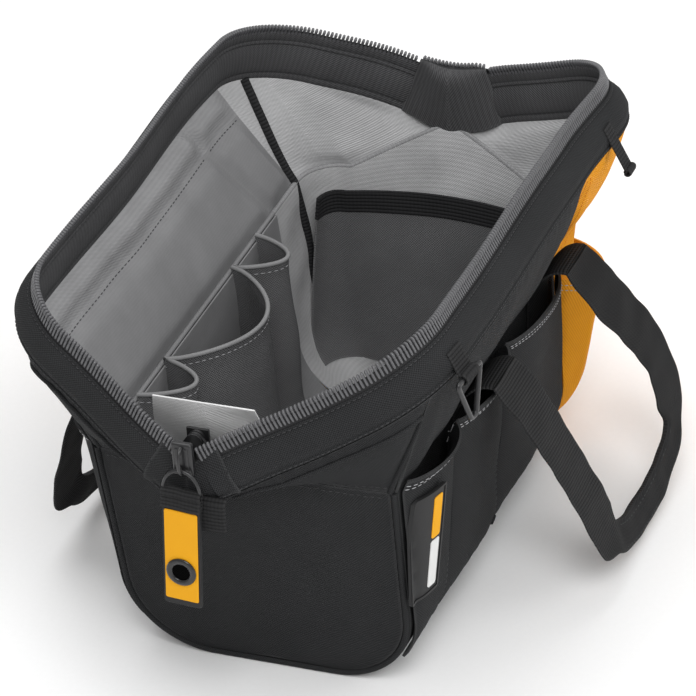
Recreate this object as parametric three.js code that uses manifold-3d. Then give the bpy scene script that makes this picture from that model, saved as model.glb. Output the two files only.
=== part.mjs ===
// Open-mouthed zippered tool bag, standing with its mouth held wide by a folding steel frame.
// Millimetres. +X runs from the zip slider's end to the orange end, +Y is the left side, +Z is up.
// The origin is on the floor, under the middle of the bottom panel.

import * as THREE from 'three';
import Module from 'manifold-3d';
import { mergeVertices } from 'three/addons/utils/BufferGeometryUtils.js';

// Body below the waist seam
const baseLength = 316;
const baseWidth = 191;
const waistWidth = 198;
const waistHeight = 158;
const footRadius = 56;
const nearLean = 20;
const farLean = 22;
const nearBulge = 34;
const farBulge = 12;
const peakRise = 33;
const farCornerRadius = 32;
const sideSeamFootX = 122;
const sideSeamWaistX = 106;

// Layers of the walls, from the outside in
const clothThickness = 1.8;
const boardThickness = 3;
const liningThickness = 1;
const seat = 0.3;
const boardMargin = 12;

// Piping round the near end panel
const pipingRadius = 1.9;

// Mouth: the line of the zip teeth when the bag is open
const mouthWidth = 250;
const railHeight = 280;
const hingeHeight = 220;
const nearHingeX = -254;
const farHingeX = 212;
const nearRailX = -202;
const farRailX = 172;
const nearRimRadius = 62;
const farRimRadius = 70;

// Rim band, measured down from the teeth
const armStart = 4;
const innerHemStart = 18;
const toothDepth = 4;
const toothThickness = 2.8;
const tapeDepth = 17;
const tapeThickness = 1;
const hemTop = 11;
const hemDepth = 36;
const hemSkin = 1.5;

// Steel mouth frame
const rodRadius = 3;
const rodDrop = 26;
const rodEndRise = 6;
const lugThickness = 2;
const lugEyeRadius = 5;
const lugRodRadius = 4.2;
const pinRadius = 2.4;
const pinClearance = 0.35;
const pinHead = 1.2;
const rightLugInset = 12;
const lugPitch = 2.6;
const bracketWidth = 14;
const bracketThickness = 2;
const bracketRunHeight = 197;
const boardPeakDrop = 6;

// Zip slider, pull ring and pull tag
const sliderWidth = 13;
const sliderHeight = 22;
const sliderThickness = 4.4;
const sliderGap = 3.6;
const bailReach = 6.4;
const bailHeight = 19;
const bailWire = 2.4;
const pullBarHalf = 11.6;
const pullRingRise = 14.8;
const pullRingWire = 0.9;
const foldWidth = 20;
const foldBore = 2.5;
const foldWall = 1.2;
const tagWidth = 25;
const tagLength = 78;
const tagThickness = 2;
const tagLean = 4;
const insertWidth = 20.5;
const insertLength = 67;
const insertThickness = 1.3;
const insertMargin = 5.5;
const eyeletOuter = 9.5;
const eyeletBore = 5.7;
const eyeletRise = 20;
const endTabWidth = 25;
const endTabOffset = -11;
const endTabTop = 197;
const endTabBottom = 169;

// Outside pockets
const pocketFoot = 22;
const pocketLip = 168;
const pocketLipFar = 146;
const pocketSlopeX = -20;
const pocketDividerOne = -108;
const pocketDividerTwo = -18;
const pocketLobeDepth = 14;
const pocketDividerDepth = 4.5;
const footSlack = 1.1;
const farPocketDepth = 18;
const farPocketLip = 120;
const farPocketSeamLip = 138;
const badgeX = -158;
const badgeWidth = 28;
const badgeBottom = 70;
const badgeTop = 150;
const badgeThickness = 2;

// Inside pockets and loops
const loopHeight = 162;
const loopFoot = 44;
const loopThickness = 1.4;
const loopEdges = [-124, -82, 31, 72];
const loopDepths = [30, 44, 30];
const farInnerPocketLip = 146;
const farInnerPocketOpen = 12;
const flapTop = 236;
const flapHalfWidth = 50;
const flapLean = 15;

// Handles
const strapWidth = 38;
const strapThickness = 2.2;
const nearLegX = -65;
const farLegX = 72;
const legFoot = 62;
const handlePivotY = 127.5;
const handlePivotHeight = 178.5;
const handleGap = 0.2;
const gripOut = 177;
const gripHeight = 24;
const gripNearX = -24;
const gripFarX = 100;
const leftGripShift = -42;
const gripStart = 0.36;
const gripEnd = 0.66;
const gripWidth = 22;
const gripThickness = 4.6;
const shoulderShare = 0.25;
const elbowShare = 0.74;
const shoulderDrop = 24;
const elbowHeightShare = 0.4;

// Carrying rings and their tabs
const ringWidth = 27;
const ringDrop = 31;
const ringWire = 1.6;
const rightRingX = -170;
const leftRingX = 128;
const ringTabWidth = 15;
const tabSkin = 1.6;
const loopTabX = 104;
const loopTabWidth = 11;
const loopTabDrop = 14;
const loopTabBore = 1.2;

const halfTurn = Math.PI / 2;
const wasm = await Module();
wasm.setup();

const bag = new THREE.Group();

const finishes = {
  black_fabric: { color: '#2c2c2e', roughness: 0.92, metalness: 0 },
  orange_fabric: { color: '#f2941e', roughness: 0.85, metalness: 0 },
  grey_lining: { color: '#7c7c7e', roughness: 0.8, metalness: 0 },
  pale_lining: { color: '#b4b4b2', roughness: 0.8, metalness: 0 },
  dark_pocket: { color: '#55565a', roughness: 0.85, metalness: 0 },
  webbing: { color: '#232325', roughness: 0.95, metalness: 0 },
  board: { color: '#4a4a48', roughness: 0.7, metalness: 0 },
  zip_tape: { color: '#1d1d1f', roughness: 0.8, metalness: 0 },
  zip_teeth: { color: '#3a3a3c', roughness: 0.45, metalness: 0 },
  steel: { color: '#8d9095', roughness: 0.4, metalness: 1 },
  dark_metal: { color: '#2a2a2c', roughness: 0.35, metalness: 1 },
  orange_rubber: { color: '#f5a02a', roughness: 0.6, metalness: 0 },
  black_rubber: { color: '#1b1b1c', roughness: 0.6, metalness: 0 },
};

function addPiece(name, geometry, finish) {
  const mesh = new THREE.Mesh(geometry, new THREE.MeshStandardMaterial(finishes[finish]));
  mesh.name = name;
  bag.add(mesh);
}

function point(x, y, z) {
  return new THREE.Vector3(x, y, z);
}

function mix(a, b, t) {
  return a + (b - a) * t;
}

function steps(count, from = 0, to = 1) {
  return Array.from({ length: count + 1 }, (_, i) => mix(from, to, i / count));
}

// Closed solids from rows of points

function signedVolume(points, faces) {
  let sum = 0;
  for (const [a, b, c] of faces) {
    sum += points[a].dot(new THREE.Vector3().crossVectors(points[b], points[c]));
  }
  return sum / 6;
}

function closedSolid(points, faces) {
  const outward = signedVolume(points, faces) > 0;
  const index = faces.flatMap(([a, b, c]) => (outward ? [a, b, c] : [a, c, b]));
  const geometry = new THREE.BufferGeometry();
  geometry.setAttribute('position', new THREE.Float32BufferAttribute(points.flatMap((p) => p.toArray()), 3));
  geometry.setIndex(index);
  geometry.computeVertexNormals();
  return geometry;
}

// A thin solid between two grids of points that face each other
function solidBetween(outer, inner) {
  const rows = outer.length;
  const columns = outer[0].length;
  const points = [...outer.flat(), ...inner.flat()];
  const faces = [];
  const top = (i, j) => i * columns + j;
  const under = (i, j) => rows * columns + i * columns + j;
  const quad = (a, b, c, d) => faces.push([a, b, c], [a, c, d]);
  for (let i = 0; i < rows - 1; i += 1) {
    for (let j = 0; j < columns - 1; j += 1) {
      quad(top(i, j), top(i, j + 1), top(i + 1, j + 1), top(i + 1, j));
      quad(under(i, j), under(i + 1, j), under(i + 1, j + 1), under(i, j + 1));
    }
  }
  for (let j = 0; j < columns - 1; j += 1) {
    quad(top(0, j), under(0, j), under(0, j + 1), top(0, j + 1));
    quad(top(rows - 1, j), top(rows - 1, j + 1), under(rows - 1, j + 1), under(rows - 1, j));
  }
  for (let i = 0; i < rows - 1; i += 1) {
    quad(top(i, 0), top(i + 1, 0), under(i + 1, 0), under(i, 0));
    quad(top(i, columns - 1), under(i, columns - 1), under(i + 1, columns - 1), top(i + 1, columns - 1));
  }
  return closedSolid(points, faces);
}

// Normals of a grid, all on the side that points away from the given centre at the last column
function gridNormals(places, centre) {
  const rows = places.length;
  const columns = places[0].length;
  const normals = places.map((row, i) => row.map((p, j) => {
    const along = places[i][Math.min(j + 1, columns - 1)].clone().sub(places[i][Math.max(j - 1, 0)]);
    const up = places[Math.min(i + 1, rows - 1)][j].clone().sub(places[Math.max(i - 1, 0)][j]);
    return along.cross(up).normalize();
  }));
  const i = rows - 1;
  const j = columns - 1;
  const away = places[i][j].clone().sub(centre).dot(normals[i][j]) > 0 ? 1 : -1;
  return normals.map((row) => row.map((n) => n.multiplyScalar(away)));
}

const bagCentre = point(0, 0, 90);

function movedIn(places, depth) {
  const normals = gridNormals(places, bagCentre);
  return places.map((row, i) => row.map((p, j) => p.clone().addScaledVector(normals[i][j], -depth(i, j))));
}

// A layer of a wall: the grid moved in by the inset, and given a thickness inwards
function layer(places, inset, thickness) {
  const depth = typeof inset === 'function' ? inset : () => inset;
  return solidBetween(movedIn(places, depth), movedIn(places, (i, j) => depth(i, j) + thickness));
}

// A solid through rings of points, capped by the triangles of its section
function loft(rings, section, closed = false) {
  const sides = rings[0].length;
  const points = rings.flat();
  const faces = [];
  const last = closed ? rings.length : rings.length - 1;
  for (let i = 0; i < last; i += 1) {
    const next = (i + 1) % rings.length;
    for (let j = 0; j < sides; j += 1) {
      const k = (j + 1) % sides;
      const corner = [i * sides + j, i * sides + k, next * sides + k, next * sides + j];
      faces.push([corner[0], corner[1], corner[2]], [corner[0], corner[2], corner[3]]);
    }
  }
  if (!closed) {
    const clockwise = THREE.ShapeUtils.isClockWise(section);
    const end = (rings.length - 1) * sides;
    for (const [a, b, c] of THREE.ShapeUtils.triangulateShape(section, [])) {
      const [p, q, r] = clockwise ? [a, c, b] : [a, b, c];
      faces.push([p, r, q], [end + p, end + q, end + r]);
    }
    orientCaps(faces, sides, end);
  }
  return closedSolid(points, faces);
}

// Turns the two caps so that their edges run against the walls' edges
function orientCaps(faces, sides, end) {
  const walls = new Set();
  for (const [a, b, c] of faces.slice(0, 2 * sides)) {
    walls.add(`${a},${b}`).add(`${b},${c}`).add(`${c},${a}`);
  }
  const caps = faces.filter(([a, b, c]) => Math.max(a, b, c) < sides);
  const clash = caps.some(([a, b, c]) => [[a, b], [b, c], [c, a]].some(([p, q]) => walls.has(`${p},${q}`)));
  if (!clash) {
    return;
  }
  for (const face of faces) {
    if (Math.max(...face) < sides || Math.min(...face) >= end) {
      face.reverse();
    }
  }
}

function circle(radius, sides) {
  return steps(sides).slice(0, -1).map((t) => new THREE.Vector2(
    radius * Math.cos(t * Math.PI * 2),
    radius * Math.sin(t * Math.PI * 2),
  ));
}

// A round bar along a line of points
function bar(line, radius, sides) {
  const section = circle(radius, sides);
  const rings = line.map((p, i) => {
    const ahead = line[Math.min(i + 1, line.length - 1)].clone().sub(line[Math.max(i - 1, 0)]).normalize();
    const across = barAcross(ahead);
    const up = new THREE.Vector3().crossVectors(ahead, across);
    return section.map((s) => p.clone().addScaledVector(across, s.x).addScaledVector(up, s.y));
  });
  return loft(rings, section);
}

// A direction square to the bar, that turns little along it
function barAcross(ahead) {
  const guide = point(1, 0.13, 0.21).normalize();
  const steep = Math.abs(ahead.dot(guide)) > 0.94;
  const helper = steep ? point(0, 0, 1) : guide;
  return helper.clone().addScaledVector(ahead, -helper.dot(ahead)).normalize();
}

// A flat strap along stations of place, width direction, width and thickness
function strap(stations) {
  const rings = stations.map(({ at, across, width, thickness, square }, i) => {
    const before = stations[Math.max(i - 1, 0)].at;
    const after = stations[Math.min(i + 1, stations.length - 1)].at;
    const ahead = after.clone().sub(before).normalize();
    const skew = square ? 0 : across.dot(ahead);
    const side = across.clone().addScaledVector(ahead, -skew).normalize();
    const face = new THREE.Vector3().crossVectors(ahead, side).normalize();
    if (square) {
      face.set(0, 0, Math.sign(face.z));
    }
    const corner = (a, b) => at.clone().addScaledVector(side, a * width / 2)
      .addScaledVector(face, b * thickness / 2);
    return [corner(-1, -1), corner(1, -1), corner(1, 1), corner(-1, 1)];
  });
  const section = [[-1, -1], [1, -1], [1, 1], [-1, 1]].map(([x, y]) => new THREE.Vector2(x, y));
  return loft(rings, section);
}

function box(low, high) {
  const size = high.clone().sub(low);
  const geometry = new THREE.BoxGeometry(size.x, size.y, size.z);
  return geometry.translate((low.x + high.x) / 2, (low.y + high.y) / 2, (low.z + high.z) / 2);
}

// A round bar along X, on the middle plane
function roundBar(radius, x0, x1, z, sidesCount = 20) {
  const geometry = new THREE.CylinderGeometry(radius, radius, x1 - x0, sidesCount).rotateZ(halfTurn);
  return geometry.translate((x0 + x1) / 2, 0, z);
}

// Booleans

function toManifold(geometry) {
  const plain = geometry.clone();
  plain.deleteAttribute('normal');
  plain.deleteAttribute('uv');
  const merged = mergeVertices(plain, 1e-4);
  return new wasm.Manifold(new wasm.Mesh({
    numProp: 3,
    vertProperties: new Float32Array(merged.attributes.position.array),
    triVerts: new Uint32Array(merged.index.array),
  }));
}

function fromManifold(solid) {
  const mesh = solid.getMesh();
  const geometry = new THREE.BufferGeometry();
  geometry.setAttribute('position', new THREE.BufferAttribute(new Float32Array(mesh.vertProperties), 3));
  geometry.setIndex(new THREE.BufferAttribute(new Uint32Array(mesh.triVerts), 1));
  geometry.computeVertexNormals();
  return geometry;
}

function joined(...geometries) {
  return fromManifold(geometries.map(toManifold).reduce((a, b) => a.add(b)));
}

function cut(geometry, ...tools) {
  return fromManifold(tools.map(toManifold).reduce((a, b) => a.subtract(b), toManifold(geometry)));
}

// Shape of the body

const halfLength = baseLength / 2;
const footHalf = baseWidth / 2 - footRadius;
const peakHeight = waistHeight + peakRise;

// Half width of the body at a height, on the foot's rounding or on the wall above it
function wallHalf(z) {
  if (z < footRadius) {
    return footHalf + Math.sqrt(footRadius ** 2 - (footRadius - z) ** 2);
  }
  return mix(baseWidth / 2, waistWidth / 2, (z - footRadius) / (waistHeight - footRadius));
}

const footShare = 0.42;

// Goes up the girth from the edge of the flat bottom to the waist
function girth(t, inset = 0) {
  if (t < footShare) {
    const a = (t / footShare) * halfTurn;
    const r = footRadius - inset;
    return [footHalf + r * Math.sin(a), footRadius - r * Math.cos(a)];
  }
  const z = mix(footRadius, waistHeight, (t - footShare) / (1 - footShare));
  return [wallHalf(z) - inset, z];
}

const girthSteps = [...steps(7, 0, footShare), ...steps(3, footShare, 1).slice(1)];

function nearX(z) {
  return -(halfLength + nearLean * z / waistHeight);
}

function farX(z) {
  return halfLength + farLean * z / waistHeight;
}

function sideSeamX(z) {
  return mix(sideSeamFootX, sideSeamWaistX, z / waistHeight);
}

function swell(share, z) {
  return (1 - share ** 2) * Math.min(1, z / peakHeight) ** 1.5;
}

// The near end's surface: share runs from -1 at the right edge to 1 at the left edge
function nearPoint(share, t, inset = 0) {
  const [half, z] = girth(t, inset);
  const height = z * (waistHeight + peakRise * (1 - Math.abs(share))) / waistHeight;
  return point(nearX(height) - nearBulge * swell(share, height), share * half, height);
}

const faceShare = 0.45;
const cornerShare = 0.68;

// The far end's surface, which turns the corners: share runs from the right seam to the left seam
function farPoint(share, t) {
  const [half, z] = girth(t);
  const size = Math.abs(share);
  const sign = share < 0 ? -1 : 1;
  const r = Math.min(farCornerRadius, 0.8 * half);
  if (size <= faceShare) {
    const part = size / faceShare;
    const height = z * (waistHeight + peakRise * (1 - part)) / waistHeight;
    return point(farX(height) + farBulge * swell(part, height), sign * part * (half - r), height);
  }
  if (size <= cornerShare) {
    const a = halfTurn * (size - faceShare) / (cornerShare - faceShare);
    return point(farX(z) - r + r * Math.cos(a), sign * (half - r + r * Math.sin(a)), z);
  }
  const part = (size - cornerShare) / (1 - cornerShare);
  return point(mix(farX(z) - r, sideSeamX(z) + seat, part), sign * half, z);
}

const farFace = steps(6, -faceShare, faceShare);
const farCorner = steps(5, faceShare, cornerShare).slice(1);
const farSide = steps(2, cornerShare, 1).slice(1);
const farShares = [
  ...[...farCorner, ...farSide].reverse().map((s) => -s),
  ...farFace,
  ...farCorner,
  ...farSide,
];

const nearColumns = steps(12, -1, 1);
const footCorner = 0.8 * footHalf;

function grid(columns, rows, place) {
  return rows.map((t) => columns.map((s) => place(s, t)));
}

const pipingInset = pipingRadius + seat;
const nearPanelInset = pipingInset + pipingRadius + seat;
const sideStart = pipingRadius + 2 * seat;
const liningInset = clothThickness + seat + boardThickness + seat;
const innerFace = liningInset + liningThickness;
const floorShare = 0.15;

function sideGrid(side, from, to, rows, columns = 5) {
  return rows.map((t) => {
    const [half, z] = girth(t);
    return steps(columns - 1).map((u) => point(mix(from(z), to(z), u), side * half, z));
  });
}

const sides = [['right', -1], ['left', 1]];

// Outer shell

// A flat plate on the floor of the bag, with its far corners rounded like the orange end
function floorPlate(nearInset, farInset, edgeGap, z0, thickness) {
  const near = nearX(0) + nearInset;
  const half = footHalf - edgeGap;
  const turn = farX(0) - footCorner;
  const middle = footHalf - footCorner;
  const radius = footCorner - farInset;
  const plan = new THREE.Shape();
  plan.moveTo(near, -half);
  plan.lineTo(turn, -half);
  plan.absarc(turn, -middle, radius, -halfTurn, 0, false);
  plan.absarc(turn, middle, radius, 0, halfTurn, false);
  plan.lineTo(turn, half);
  plan.lineTo(near, half);
  plan.closePath();
  const plate = new THREE.ExtrudeGeometry(plan, { depth: thickness, bevelEnabled: false, curveSegments: 5 });
  return plate.translate(0, 0, z0);
}

function makeShell() {
  const floor = floorPlate(sideStart, clothThickness + seat, seat, 0, clothThickness);
  addPiece('bottom_panel', floor, 'black_fabric');
  for (const [name, side] of sides) {
    const walls = sideGrid(side, (z) => nearX(z) + sideStart, sideSeamX, girthSteps);
    addPiece(`${name}_side_panel`, layer(walls, 0, clothThickness), 'black_fabric');
  }
  const near = grid(nearColumns, girthSteps, (s, t) => nearPoint(s, t, nearPanelInset));
  addPiece('near_end_panel', layer(near, 0, clothThickness), 'black_fabric');
  addPiece('far_end_panel', layer(grid(farShares, girthSteps, farPoint), 0, clothThickness), 'orange_fabric');
  const rise = [...girthSteps].map((t) => girth(t, pipingInset));
  const line = [
    ...[...rise].reverse().map(([half, z]) => point(nearX(z) + seat, half, z)),
    ...rise.map(([half, z]) => point(nearX(z) + seat, -half, z)),
  ];
  addPiece('near_piping', bar(line, pipingRadius, 8), 'black_fabric');
}

// Boards that keep the walls up, and the lining inside them

const boardInset = clothThickness + seat;
const boardTop = 1 - boardPeakDrop / peakHeight;
const boardRows = [...girthSteps.filter((t) => t > 0.1 && t < boardTop - 0.05), boardTop];
const boardFloor = clothThickness + seat;

function makeBoards() {
  const base = floorPlate(liningInset + seat, liningInset + seat, seat, boardFloor, boardThickness);
  addPiece('base_board', base, 'board');
  const wallRows = boardRows.filter((t) => t >= footShare);
  for (const [name, side] of sides) {
    const from = (z) => nearX(z) + boardMargin;
    const to = (z) => farX(z) - farCornerRadius - seat;
    const walls = sideGrid(side, from, to, wallRows);
    addPiece(`${name}_side_board`, layer(walls, boardInset, boardThickness), 'board');
  }
  const near = grid(nearColumns.slice(1, -1), boardRows, (s, t) => nearPoint(s, t, nearPanelInset));
  addPiece('near_end_board', layer(near, boardInset, boardThickness), 'board');
  addPiece('far_end_board', layer(grid(farFace, boardRows, farPoint), boardInset, boardThickness), 'board');
}

// The lining of the orange end starts above the floor where the end wall meets it
function farLiningPoint(share, t) {
  const size = Math.abs(share);
  const lift = THREE.MathUtils.clamp((cornerShare - size) / (cornerShare - faceShare), 0, 1);
  return farPoint(share, mix(floorShare * lift, 1, t));
}

function makeLining() {
  const floor = floorPlate(innerFace + seat, innerFace + seat, 4 * seat, liningInset, liningThickness);
  addPiece('floor_lining', floor, 'grey_lining');
  for (const [name, side] of sides) {
    const walls = sideGrid(side, (z) => nearX(z) + liningInset, sideSeamX, girthSteps);
    addPiece(`${name}_lining`, layer(walls, liningInset, liningThickness), 'grey_lining');
  }
  addPiece('near_lining', layer(nearLiningGrid(), liningInset, liningThickness), 'grey_lining');
  const far = grid(farShares, girthSteps, farLiningPoint);
  addPiece('far_lining', layer(far, liningInset, liningThickness), 'grey_lining');
}

function nearLiningGrid() {
  return grid(nearColumns, girthSteps, (s, t) => nearPoint(s, t, innerFace + seat));
}

// The rim line lies in the frame's plane: x along the bag, b away from the hinge line

const railRise = railHeight - hingeHeight;
const railReach = Math.hypot(mouthWidth / 2, railRise);
const openTilt = Math.atan2(railRise, mouthWidth / 2);

function rimCorner(before, corner, after, radius) {
  const back = before.clone().sub(corner).normalize();
  const ahead = after.clone().sub(corner).normalize();
  const spread = Math.acos(back.dot(ahead));
  const reach = radius / Math.tan(spread / 2);
  const middle = back.clone().add(ahead).normalize();
  const centre = corner.clone().addScaledVector(middle, radius / Math.sin(spread / 2));
  return { start: corner.clone().addScaledVector(back, reach), centre, turn: Math.PI - spread };
}

const rimEnds = [new THREE.Vector2(nearHingeX, 0), new THREE.Vector2(farHingeX, 0)];
const railEnds = [new THREE.Vector2(nearRailX, railReach), new THREE.Vector2(farRailX, railReach)];
const nearCurve = rimCorner(rimEnds[0], railEnds[0], railEnds[1], nearRimRadius);
const farCurve = rimCorner(railEnds[0], railEnds[1], rimEnds[1], farRimRadius);

// A place on the rim: the point in the plane and the direction that points out of the mouth
function armStation(end, corner, length) {
  const ahead = corner.clone().sub(end).normalize();
  const at = end.clone().addScaledVector(ahead, length);
  const out = end.x < 0 ? new THREE.Vector2(-ahead.y, ahead.x) : new THREE.Vector2(ahead.y, -ahead.x);
  return { at, out };
}

function curveStation(curve, radius, share) {
  const first = curve.start.clone().sub(curve.centre);
  const out = first.rotateAround(new THREE.Vector2(), -curve.turn * share).normalize();
  return { at: curve.centre.clone().addScaledVector(out, radius), out };
}

const nearArmLength = nearCurve.start.distanceTo(rimEnds[0]);
const farArmLength = curveStation(farCurve, farRimRadius, 1).at.distanceTo(rimEnds[1]);
const curveSteps = 8;

function nearArm(from, count = 3) {
  return steps(count, from, nearArmLength).map((l) => armStation(rimEnds[0], railEnds[0], l));
}

function farArm(from, count = 3) {
  return steps(count, from, farArmLength).map((l) => armStation(rimEnds[1], railEnds[1], l)).reverse();
}

function nearBend(from = 0, to = 1, count = curveSteps) {
  return steps(count, from, to).map((s) => curveStation(nearCurve, nearRimRadius, s));
}

function farBend(from = 0, to = 1, count = curveSteps) {
  return steps(count, from, to).map((s) => curveStation(farCurve, farRimRadius, s));
}

function wholeRim(start) {
  return [
    ...nearArm(start).slice(0, -1),
    ...nearBend(),
    ...farBend(),
    ...farArm(start).slice(1),
  ];
}

// The rim station at a place along the rail or on the bends beside it
function stationAt(x) {
  if (x < nearCurve.centre.x) {
    const angle = Math.asin((nearCurve.centre.x - x) / nearRimRadius);
    return curveStation(nearCurve, nearRimRadius, 1 - angle / nearCurve.turn);
  }
  if (x > farCurve.centre.x) {
    const angle = Math.asin((x - farCurve.centre.x) / farRimRadius);
    return curveStation(farCurve, farRimRadius, angle / farCurve.turn);
  }
  return { at: new THREE.Vector2(x, railReach), out: new THREE.Vector2(0, 1) };
}

// Places a rim station in space: offset goes out of the mouth, drop goes down the band
function rimPoint(side, { at, out }, offset, drop) {
  const x = at.x + offset * out.x;
  const b = at.y + offset * out.y;
  const y = side * (b * Math.cos(openTilt) + drop * Math.sin(openTilt));
  return point(x, y, hingeHeight + b * Math.sin(openTilt) - drop * Math.cos(openTilt));
}

function band(side, section, start) {
  const outline = section.map(([offset, drop]) => new THREE.Vector2(offset, drop));
  const rings = wholeRim(start).map((s) => outline.map((p) => rimPoint(side, s, p.x, p.y)));
  return loft(rings, outline);
}

const closeGap = 0.4;

function rectangle(halfThickness, from, to) {
  return [[-halfThickness, from], [halfThickness, from], [halfThickness, to], [-halfThickness, to]];
}

// One half of the hem: it leaves the tape, passes round the rod and closes below it
function hemSection(sign) {
  const tapeFace = tapeThickness / 2 + seat;
  const rodFace = rodRadius + seat;
  const middle = seat / 2 + 0.05;
  return [
    [tapeFace + hemSkin, hemTop],
    [rodFace + hemSkin, rodDrop - rodRadius - 3],
    [rodFace + hemSkin, rodDrop + rodRadius + 3],
    [middle + hemSkin, hemDepth],
    [middle, hemDepth],
    [middle, rodDrop + rodRadius + 4],
    [rodFace, rodDrop + rodRadius],
    [rodFace, rodDrop - rodRadius],
    [tapeFace, tapeDepth + seat],
    [tapeFace, hemTop],
  ].map(([offset, drop]) => [sign * offset, drop]);
}

// The rod of one frame half, with its ends turned in to the flat lugs
function rodLine(side, lugInset) {
  const nearLug = { at: new THREE.Vector2(nearHingeX + lugInset, rodEndRise), out: new THREE.Vector2(0, 1) };
  const farLug = { at: new THREE.Vector2(farHingeX - lugInset, rodEndRise), out: new THREE.Vector2(0, 1) };
  const turnIn = rodEndRise + 2;
  const stations = [
    nearLug,
    ...nearArm(turnIn).slice(0, -1),
    ...nearBend(),
    ...farBend(),
    ...farArm(turnIn).slice(1),
    farLug,
  ];
  return stations.map((s) => rimPoint(side, s, 0, rodDrop));
}

function lug(side, x, towards) {
  const station = { at: new THREE.Vector2(0, rodEndRise), out: new THREE.Vector2(0, 1) };
  const rod = rimPoint(side, station, 0, rodDrop);
  const reach = new THREE.Vector2(rod.y, rod.z - hingeHeight);
  const angle = Math.atan2(reach.y, reach.x);
  const plate = new THREE.Shape();
  plate.absarc(0, 0, lugEyeRadius, angle + halfTurn, angle - halfTurn, false);
  plate.absarc(reach.x, reach.y, lugRodRadius, angle - halfTurn, angle + halfTurn, false);
  const eye = new THREE.Path();
  eye.absarc(0, 0, pinRadius + pinClearance, 0, Math.PI * 2, true);
  plate.holes.push(eye);
  const options = { depth: lugThickness, bevelEnabled: false, curveSegments: 8 };
  const geometry = new THREE.ExtrudeGeometry(plate, options);
  const turned = new THREE.Matrix4().set(0, 0, 1, 0, 1, 0, 0, 0, 0, 1, 0, hingeHeight, 0, 0, 0, 1);
  geometry.applyMatrix4(turned);
  return geometry.translate(towards > 0 ? x : x - lugThickness, 0, 0);
}

function frameHalf(side, lugInset) {
  const line = rodLine(side, lugInset + lugThickness / 2);
  return joined(
    bar(line, rodRadius, 8),
    lug(side, nearHingeX + lugInset, 1),
    lug(side, farHingeX - lugInset, -1),
  );
}

function makeRim() {
  for (const [name, side] of sides) {
    const lugInset = side < 0 ? rightLugInset : rightLugInset + lugPitch;
    addPiece(`${name}_frame_rod`, frameHalf(side, lugInset), 'steel');
    const teeth = rectangle(toothThickness / 2, closeGap, toothDepth);
    addPiece(`${name}_zip_teeth`, band(side, teeth, armStart), 'zip_teeth');
    const tape = rectangle(tapeThickness / 2, toothDepth + seat, tapeDepth);
    addPiece(`${name}_zip_tape`, band(side, tape, armStart), 'zip_tape');
    addPiece(`${name}_hem_outer`, band(side, hemSection(1), armStart), 'black_fabric');
    addPiece(`${name}_hem_inner`, band(side, hemSection(-1), innerHemStart), 'webbing');
  }
}

// Brackets that carry the frame's hinge pins

function bracket(sign, hingeX, wall) {
  const plate = hingeX - sign * (rightLugInset + lugPitch + lugThickness + seat + bracketThickness / 2);
  const half = bracketThickness / 2;
  const wide = bracketWidth / 2;
  const slab = (x0, x1, z0, z1) => box(point(Math.min(x0, x1), -wide, z0), point(Math.max(x0, x1), wide, z1));
  const slope = (wall(1).x - wall(boardTop).x) / (wall(1).z - wall(boardTop).z);
  const inset = (boardInset + boardThickness / 2) * Math.hypot(1, slope);
  const lean = Math.abs(slope) / Math.hypot(1, slope);
  const low = wall(boardTop).z + (boardInset + boardThickness + half) * lean + seat;
  const tongueX = (z) => wall(1).x + slope * (z - wall(1).z) - sign * inset;
  const top = tongueX(bracketRunHeight);
  const across = point(0, 1, 0);
  const tongue = strap([low, bracketRunHeight].map((z) => ({
    at: point(tongueX(z), 0, z), across, width: bracketWidth, thickness: bracketThickness,
  })));
  const upright = slab(plate - half, plate + half, bracketRunHeight - half, hingeHeight + lugEyeRadius);
  const run = slab(Math.min(plate, top) - half, Math.max(plate, top) + half,
    bracketRunHeight - half, bracketRunHeight + half);
  const pinStart = hingeX - sign * (rightLugInset - seat);
  const pin = roundBar(pinRadius, Math.min(plate, pinStart), Math.max(plate, pinStart), hingeHeight, 16);
  const headEnd = pinStart + sign * pinHead;
  const headSpan = [Math.min(pinStart, headEnd), Math.max(pinStart, headEnd)];
  const head = roundBar(lugEyeRadius, ...headSpan, hingeHeight, 16);
  return joined(upright, run, tongue, pin, head);
}

function makeBrackets() {
  addPiece('near_hinge_bracket', bracket(-1, nearHingeX, (t) => nearPoint(0, t)), 'steel');
  addPiece('far_hinge_bracket', bracket(1, farHingeX, (t) => farPoint(0, t)), 'steel');
}

// Collar between the waist seam and the rim band

const collarDrop = hemDepth + 2 * closeGap;
const collarHalf = clothThickness / 2;
const cornerCut = 0.03;
const seamRimX = 60;

function resample(line, count) {
  const lengths = [0];
  for (let i = 1; i < line.length; i += 1) {
    lengths.push(lengths[i - 1] + line[i].distanceTo(line[i - 1]));
  }
  const total = lengths[lengths.length - 1];
  return steps(count).map((t) => {
    const length = t * total;
    const after = lengths.findIndex((l) => l >= length - 1e-6);
    const i = Math.max(0, (after < 0 ? lengths.length - 1 : after) - 1);
    const share = THREE.MathUtils.clamp((length - lengths[i]) / (lengths[i + 1] - lengths[i]), 0, 1);
    return line[i].clone().lerp(line[i + 1], share);
  });
}

function ruled(lower, upper, columns, rows = 4) {
  const a = resample(lower, columns);
  const b = resample(upper, columns);
  return steps(rows).map((t) => a.map((p, j) => p.clone().lerp(b[j], t)));
}

// The top edge of the walls, moved in by a depth and lifted by the seam's gap
function waistEdge(shares, place, depth) {
  const rows = grid(shares, [0.97, 1], place);
  return movedIn(rows, () => depth)[1].map((p) => p.setZ(p.z + closeGap));
}

// The middle of the shelf under each V of the mouth
function shelfPoint(side, hingeX, gap, rise = 0) {
  const inward = hingeX < 0 ? 1 : -1;
  return point(hingeX + 2 * inward, side * gap, hingeHeight - collarDrop * Math.cos(openTilt) + 1.5 + rise);
}

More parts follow.
